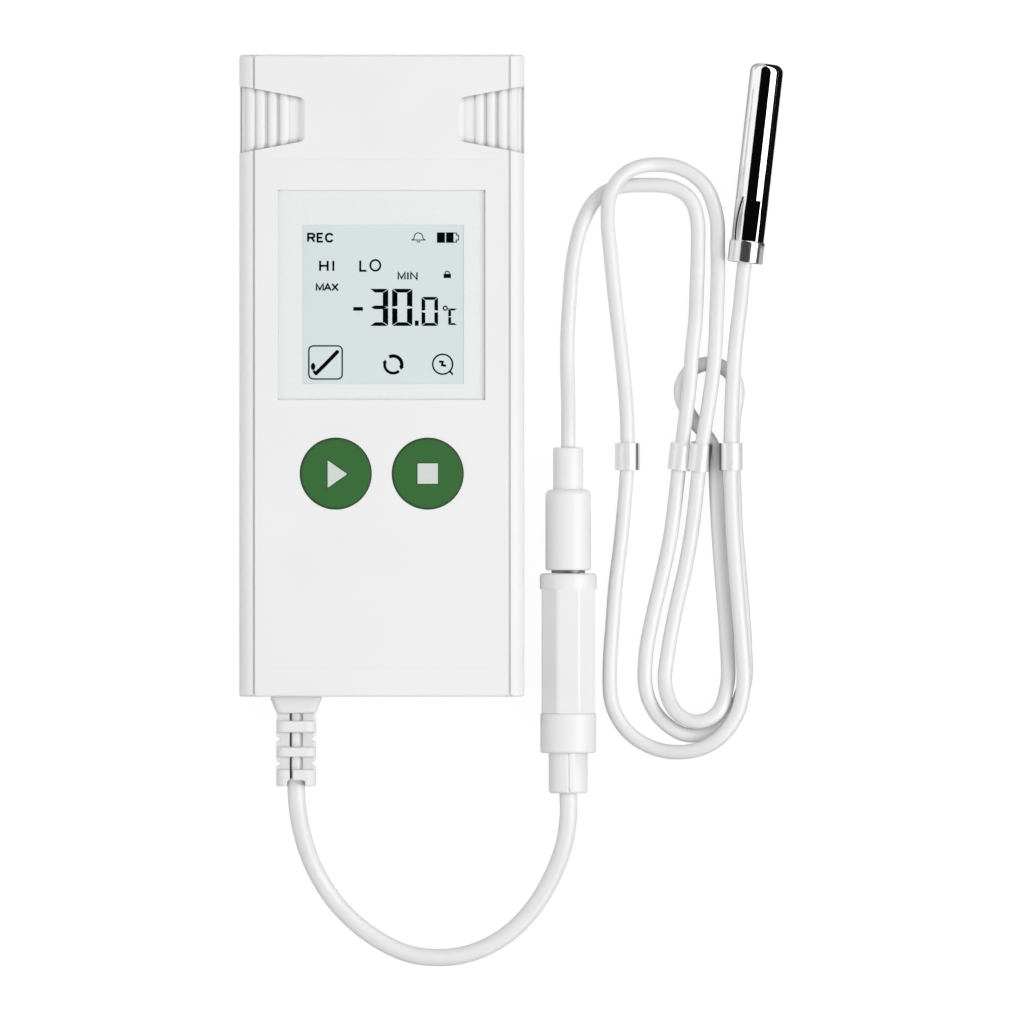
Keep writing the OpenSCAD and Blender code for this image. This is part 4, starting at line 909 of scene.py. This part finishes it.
class LOGGER_OT_stage(bpy.types.Operator):
    """Camera, floor, cards and light"""

    bl_idname = "logger.stage"
    bl_label = "Stage"

    def execute(self, context):
        scene = context.scene
        stage = scene.logger_stage
        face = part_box("front_label")[1].z
        data = bpy.data.cameras.new("Camera")
        data.lens = stage.lens
        camera = bpy.data.objects.new("Camera", data)
        rise = stage.frame_width * stage.lens / data.sensor_width
        camera.location = (*stage.aim, face + rise)
        scene.collection.objects.link(camera)
        scene.camera = camera
        flat_sheet("studio_floor", (-1.5, -1.5), (1.5, 1.5), -0.05 * MM, floor_paint())
        for name, near, far, low, high, level, grey, far_grey in (
                ("left", -300, -2.7, -40, 36, 0.05, 0.3, 1.0),
                ("right", 3.4, 900, -80, 36, 0.04, 0.005, 0.005),
                ("tip", -1, 300, 31, 300, 0.06, 0.01, 0.01),
                ("collar", 2.8, 30, -5, 2.9, 0.06, 0.5, 0.5)):
            probe_card(name + "_card", near, far, low, high, level,
                       card_paint(name, grey, far_grey))
        scene.world = scene.world or bpy.data.worlds.new("World")
        studio_light(scene.world, stage.sky)
        middle = (*stage.aim, 0)
        lamp("Key lamp", (0.62, -0.1, 0.55), middle, 0.5, stage.key_power)
        lamp("Left lamp", (-0.7, 0, 0.25), middle, 0.8, stage.left_power)
        lamp("Top lamp", (0.05, 0.1, 1.1), middle, 0.8, stage.fill_power)
        scene.view_settings.view_transform = "Standard"
        return {"FINISHED"}


class LOGGER_OT_case(bpy.types.Operator):
    """Both halves of the case, the battery cover, screws and seals"""

    bl_idname = "logger.case"
    bl_label = "Case"

    def execute(self, context):
        sizes, colours = chosen(context)
        # The casing's grooves and inner corners get painted shade.
        plastic = moulded("Casing plastic", colours.case, grain=sizes.grain, crevice_shade=0.55)
        for node in ("front_cover", "rear_cover"):
            softened(node, sizes.edge, plastic, "logger", corner=sizes.corner)
        softened("battery_cover", sizes.fine_edge, plastic, "battery_cover")
        rubber = moulded("Seal rubber", (0.05, 0.05, 0.055), roughness=0.6, gloss=0.3)
        for node in ("case_seal", "battery_seal"):
            repaint(node, rubber)
        repaint("case_screws", metal("Screw steel", (0.55, 0.55, 0.56), 0.3))
        return {"FINISHED"}


class LOGGER_OT_front(bpy.types.Operator):
    """The label film, the pane and the print under its edge"""

    bl_idname = "logger.front"
    bl_label = "Label and pane"

    def execute(self, context):
        sizes, colours = chosen(context)
        film = moulded("Label film", colours.label, roughness=0.5, grain=sizes.grain,
                       relief=0.005 * MM, mottle=0.008, gloss=0.25)
        low, high = (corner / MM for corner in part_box("display_window"))
        spread_film("front_label", 0.045 * MM, film)
        spread_film("display_window", 0.047 * MM, clear_pane("Pane"), "NSW")
        reach, east, above = 0.04, -0.07, 0.01
        shape = bmesh.new()
        rims = []
        for outline in (round_box(low.x - reach, low.y - reach, high.x + east, high.y + reach, 0.3),
                        round_box(LCD_LEFT, LCD_HIGH - LCD_TALL, LCD_LEFT + LCD_WIDE,
                                  LCD_HIGH, 0.08)):
            corners = [shape.verts.new((x, y, low.z + above)) for x, y in outline]
            rims += [shape.edges.new(pair) for pair in zip(corners, corners[1:] + corners[:1])]
        made = bmesh.ops.bridge_loops(shape, edges=rims)["faces"]
        thicken(shape, made, sizes.mark_depth / MM)
        add_drawn("pane_border", shape, printed("Pane border", colours.pane), "logger")
        return {"FINISHED"}


class LOGGER_OT_display(bpy.types.Operator):
    """The display's field and the marks that are on"""

    bl_idname = "logger.display"
    bl_label = "Display"

    def execute(self, context):
        sizes, colours = chosen(context)
        repaint("lcd_panel", display_field("Display field", colours.field))
        depth = sizes.mark_depth / MM
        shape = bmesh.new()
        draw_words(shape, depth)
        draw_reading(shape, depth)
        draw_signs(shape, depth)
        ink = printed("Display mark", colours.mark, roughness=0.6, gloss=0.03)
        add_drawn("display_marks", shape, ink, "logger")
        return {"FINISHED"}


class LOGGER_OT_keys(bpy.types.Operator):
    """The start and stop keys and the signs on them"""

    bl_idname = "logger.keys"
    bl_label = "Keys"

    def execute(self, context):
        sizes, colours = chosen(context)
        pale = printed("Key sign", colours.sign)
        # A dark green ribbon round each sign is painted shade at the sign's edge.
        dark = printed("Key sign edge shade", tinted(colours.key, 0.55))
        depth = sizes.mark_depth / MM
        for node in ("start_button", "stop_button"):
            low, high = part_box(node)
            centre = (low + high) / 2
            softened(node, sizes.fine_edge, key_green(node, colours.key, centre), node)
            x, y = centre.x / MM, centre.y / MM
            if node == "start_button":
                outline = rounded([(x - 1.22, y + 2.0), (x - 1.22, y - 2.15),
                                   (x + 1.74, y - 0.07)], 0.1)
            else:
                outline = round_box(x - 1.54, y - 1.54, x + 1.54, y + 1.54, 0.1)
            shape = bmesh.new()
            plate(shape, outline, KEY_TOP, depth)
            add_drawn(node + "_sign", shape, pale, node)
            # The dark ribbon round the sign: painted shade.
            shape = bmesh.new()
            ribbon(shape, outline, 0.3, KEY_TOP, depth / 2, closed=True)
            add_drawn(node + "_border", shape, dark, node)
        return {"FINISHED"}


def boot_plastic(name, colour):
    """Soft plastic with painted shade in its recesses, below the bars."""
    paint, place = paint_for(name)
    fine = paint.noise(place, 0.12 * MM, detail=3.0)
    core, bars, half_width = 1.8 * MM, 2.3 * MM, 2.6 * MM
    lead = Vector(LEAD_ROUTE[0]) * MM
    out = abs(paint.along(place, "Z") - lead.z)
    aside = abs(paint.along(place, "X") - lead.x)
    # Painted shade: the recesses between the bars are darker.
    recess = paint.fade(out, core, bars, 1.0, 0.0) * (aside < half_width)
    pale = paint.blend(fine, tinted(colour, 0.985), colour)
    return finish_paint(
        paint,
        Base_Color=paint.blend(recess, pale, tinted(colour, 0.88)),
        Roughness=paint.spread(fine, 0.44, 0.56),
        Specular_IOR_Level=0.35,
        Normal=paint.bump(fine, 0.25, 0.004 * MM))


class LOGGER_OT_strain_relief(bpy.types.Operator):
    """The slotted boot where the lead leaves the case"""

    bl_idname = "logger.strain_relief"
    bl_label = "Strain relief"

    def execute(self, context):
        sizes, colours = chosen(context)
        soft = boot_plastic("Boot plastic", tinted(colours.case, 0.96))
        boot = softened("strain_relief", None, soft, "logger")
        boot.modifiers.clear()
        skin = boot.modifiers.new("Even skin", "REMESH")
        skin.mode = "VOXEL"
        skin.voxel_size = 0.12 * MM
        skin.use_smooth_shade = True
        ease = boot.modifiers.new("Eased edges", "SMOOTH")
        ease.factor = 0.5
        ease.iterations = sizes.boot_ease
        return {"FINISHED"}


def eight_sided_body(material):
    """The socket's body: a bored bar with eight flats and a round mouth."""
    low, high = (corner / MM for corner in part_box("socket_body"))
    r = (high.x - low.x) / 2
    x, z = low.x + r, low.z + r
    bore = 2.85
    floor = low.y + 2.2
    mouth = 0.5
    flat_depth = 0.27
    flats_end = high.y - 2.355
    step = 0.01
    shape = bmesh.new()
    outline = [(0, low.y), (r, low.y), (r, flats_end - step / 2), (r, flats_end + step / 2),
               (r, high.y - mouth), *arc((r - mouth, high.y - mouth), mouth, 0, 90, 5)[1:],
               (bore, high.y), (bore, floor), (0, floor)]
    rim = [shape.verts.new((x + off, y, z)) for off, y in outline]
    edges = [shape.edges.new(pair) for pair in zip(rim, rim[1:])]
    bmesh.ops.spin(shape, geom=rim + edges, cent=(x, 0, z), axis=(0, 1, 0), dvec=(0, 0, 0),
                   angle=2 * math.pi, steps=72, use_merge=True, use_duplicate=False)
    for corner in shape.verts:
        arm = Vector((corner.co.x - x, corner.co.z - z))
        if arm.length > r - 0.1 and corner.co.y < flats_end:
            turn = math.degrees(math.atan2(arm.y, arm.x))
            off = math.radians(turn - 45 * round(turn / 45))
            arm *= min(1, (r - flat_depth) / math.cos(off) / r)
            corner.co.x, corner.co.z = x + arm.x, z + arm.y
    body = add_drawn("socket_body_finish", shape, material, "logger",
                     angle=15)
    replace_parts(body, "socket_body")


class LOGGER_OT_connector(bpy.types.Operator):
    """The inline socket and the jack plug in it"""

    bl_idname = "logger.connector"
    bl_label = "Inline connector"

    def execute(self, context):
        colours = context.scene.logger_colours
        plastic = moulded("Connector plastic", colours.connector, roughness=0.38,
                          grain=0.15 * MM, relief=0.003 * MM, gloss=0.45)
        for node, body in (("socket_ring", "logger"), ("socket_tail", "logger"),
                           ("plug_body", "probe_lead"), ("plug_sleeve", "probe_lead")):
            softened(node, None, plastic, body)
        eight_sided_body(plastic)
        nickel = metal("Nickel", (0.72, 0.71, 0.69), 0.16)
        for node in ("socket_barrel", "socket_springs", "jack_tip"):
            repaint(node, nickel)
        # The jack sleeve's dark grey is painted shade for the gap between plug and socket.
        repaint("jack_sleeve", metal("Nickel darkened as gap shade", (0.3, 0.3, 0.3), 0.4, shine=0.7))
        resin = moulded("Insulator", (0.03, 0.03, 0.032), roughness=0.4)
        repaint("jack_insulator", resin)
        repaint("socket_base", resin)
        return {"FINISHED"}


class LOGGER_OT_probe(bpy.types.Operator):
    """The polished probe, its collar and the clips on the cable"""

    bl_idname = "logger.probe"
    bl_label = "Probe and clips"

    def execute(self, context):
        colours = context.scene.logger_colours
        polished = polished_tube("Polished probe", colours.steel)
        softened("probe_tube", None, polished, "probe_lead", angle=12)
        satin = metal("Satin collar", tinted(colours.steel, 0.9), 0.17, shine=0.94)
        softened("probe_ferrule", None, satin, "probe_lead")
        for node, seam in (("cable_clip_1", 0.88), ("cable_clip_2", 0.95), ("cable_clip_3", 0.07)):
            softened(node, None, clip_tin(node, colours.steel, seam), "probe_lead")
        repaint("thermistor", moulded("Bead resin", (0.04, 0.035, 0.03), roughness=0.25))
        repaint("potting", moulded("Potting", (0.5, 0.47, 0.38), roughness=0.55))
        return {"FINISHED"}


class LOGGER_OT_cords(bpy.types.Operator):
    """The lead and the hanked probe cable"""

    bl_idname = "logger.cords"
    bl_label = "Cords"

    def execute(self, context):
        sizes, colours = chosen(context)
        jacket = soft_jacket("Cable jacket", colours.jacket)
        # The lead's jacket has a painted shadow where it lies in the boot's slots.
        covered = soft_jacket("Lead jacket", colours.jacket, shaded=True)
        route = smooth_route(LEAD_ROUTE, sizes.cord_steps)
        lead = cord_curve("lead", route, sizes.lead, covered, "logger")
        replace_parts(lead, "lead_cord")
        route_length(route)
        route = smooth_route(CABLE_ROUTE, sizes.cord_steps)
        cable = cord_curve("cable", route, sizes.cable, jacket, "probe_lead")
        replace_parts(cable, "probe_cable")
        route_length(route)
        return {"FINISHED"}


class LOGGER_OT_inside(bpy.types.Operator):
    """What the case hides: board, cell, contacts and port"""

    bl_idname = "logger.inside"
    bl_label = "Inside"

    def execute(self, context):
        carrier = moulded("Carrier plastic", (0.6, 0.6, 0.58), roughness=0.5)
        finishes = {
            "lcd_frame": carrier,
            "lead_header": carrier,
            "contact_strips": moulded("Contact rubber", (0.35, 0.33, 0.34), roughness=0.6),
            "button_domes": metal("Dome steel", (0.6, 0.6, 0.6), 0.18),
            "circuit_board": board_mask("Solder mask"),
            "board_chips": moulded("Chip resin", (0.02, 0.02, 0.022), roughness=0.5,
                                   grain=0.08 * MM),
            "data_port": metal("Port steel", (0.62, 0.62, 0.63), 0.25),
            "lead_cores": moulded("Core sleeving", (0.45, 0.06, 0.05), roughness=0.4),
            "coin_cell": metal("Cell steel", (0.66, 0.66, 0.65), 0.22),
            "cell_contacts": metal("Contact brass", (0.75, 0.6, 0.3), 0.25),
        }
        for node, finish in finishes.items():
            repaint(node, finish)
        return {"FINISHED"}


STEPS = (LOGGER_OT_stage, LOGGER_OT_case, LOGGER_OT_front, LOGGER_OT_display,
         LOGGER_OT_keys, LOGGER_OT_strain_relief, LOGGER_OT_connector, LOGGER_OT_probe,
         LOGGER_OT_cords, LOGGER_OT_inside)


class LOGGER_PT_panel(bpy.types.Panel):
    """Lists the logger's steps, sizes and colours"""

    bl_idname = "LOGGER_PT_panel"
    bl_label = "Temperature logger"
    bl_space_type = "VIEW_3D"
    bl_region_type = "UI"
    bl_category = "Logger"

    def draw(self, context):
        for step in STEPS:
            self.layout.operator(step.bl_idname)
        scene = context.scene
        for group in (scene.logger_sizes, scene.logger_colours, scene.logger_stage):
            box = self.layout.box()
            for name in group.__annotations__:
                box.prop(group, name)


CLASSES = (LoggerSizes, LoggerColours, LoggerStage, *STEPS, LOGGER_PT_panel)


def register():
    for made in CLASSES:
        bpy.utils.register_class(made)
    scene = bpy.types.Scene
    scene.logger_sizes = PointerProperty(type=LoggerSizes)
    scene.logger_colours = PointerProperty(type=LoggerColours)
    scene.logger_stage = PointerProperty(type=LoggerStage)


def unregister():
    scene = bpy.types.Scene
    del scene.logger_sizes, scene.logger_colours, scene.logger_stage
    for made in reversed(CLASSES):
        bpy.utils.unregister_class(made)


def main():
    """Registers the add-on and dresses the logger."""
    register()
    for step in STEPS:
        group, name = step.bl_idname.split(".")
        getattr(getattr(bpy.ops, group), name)()


if __name__ == "__main__":
    main()
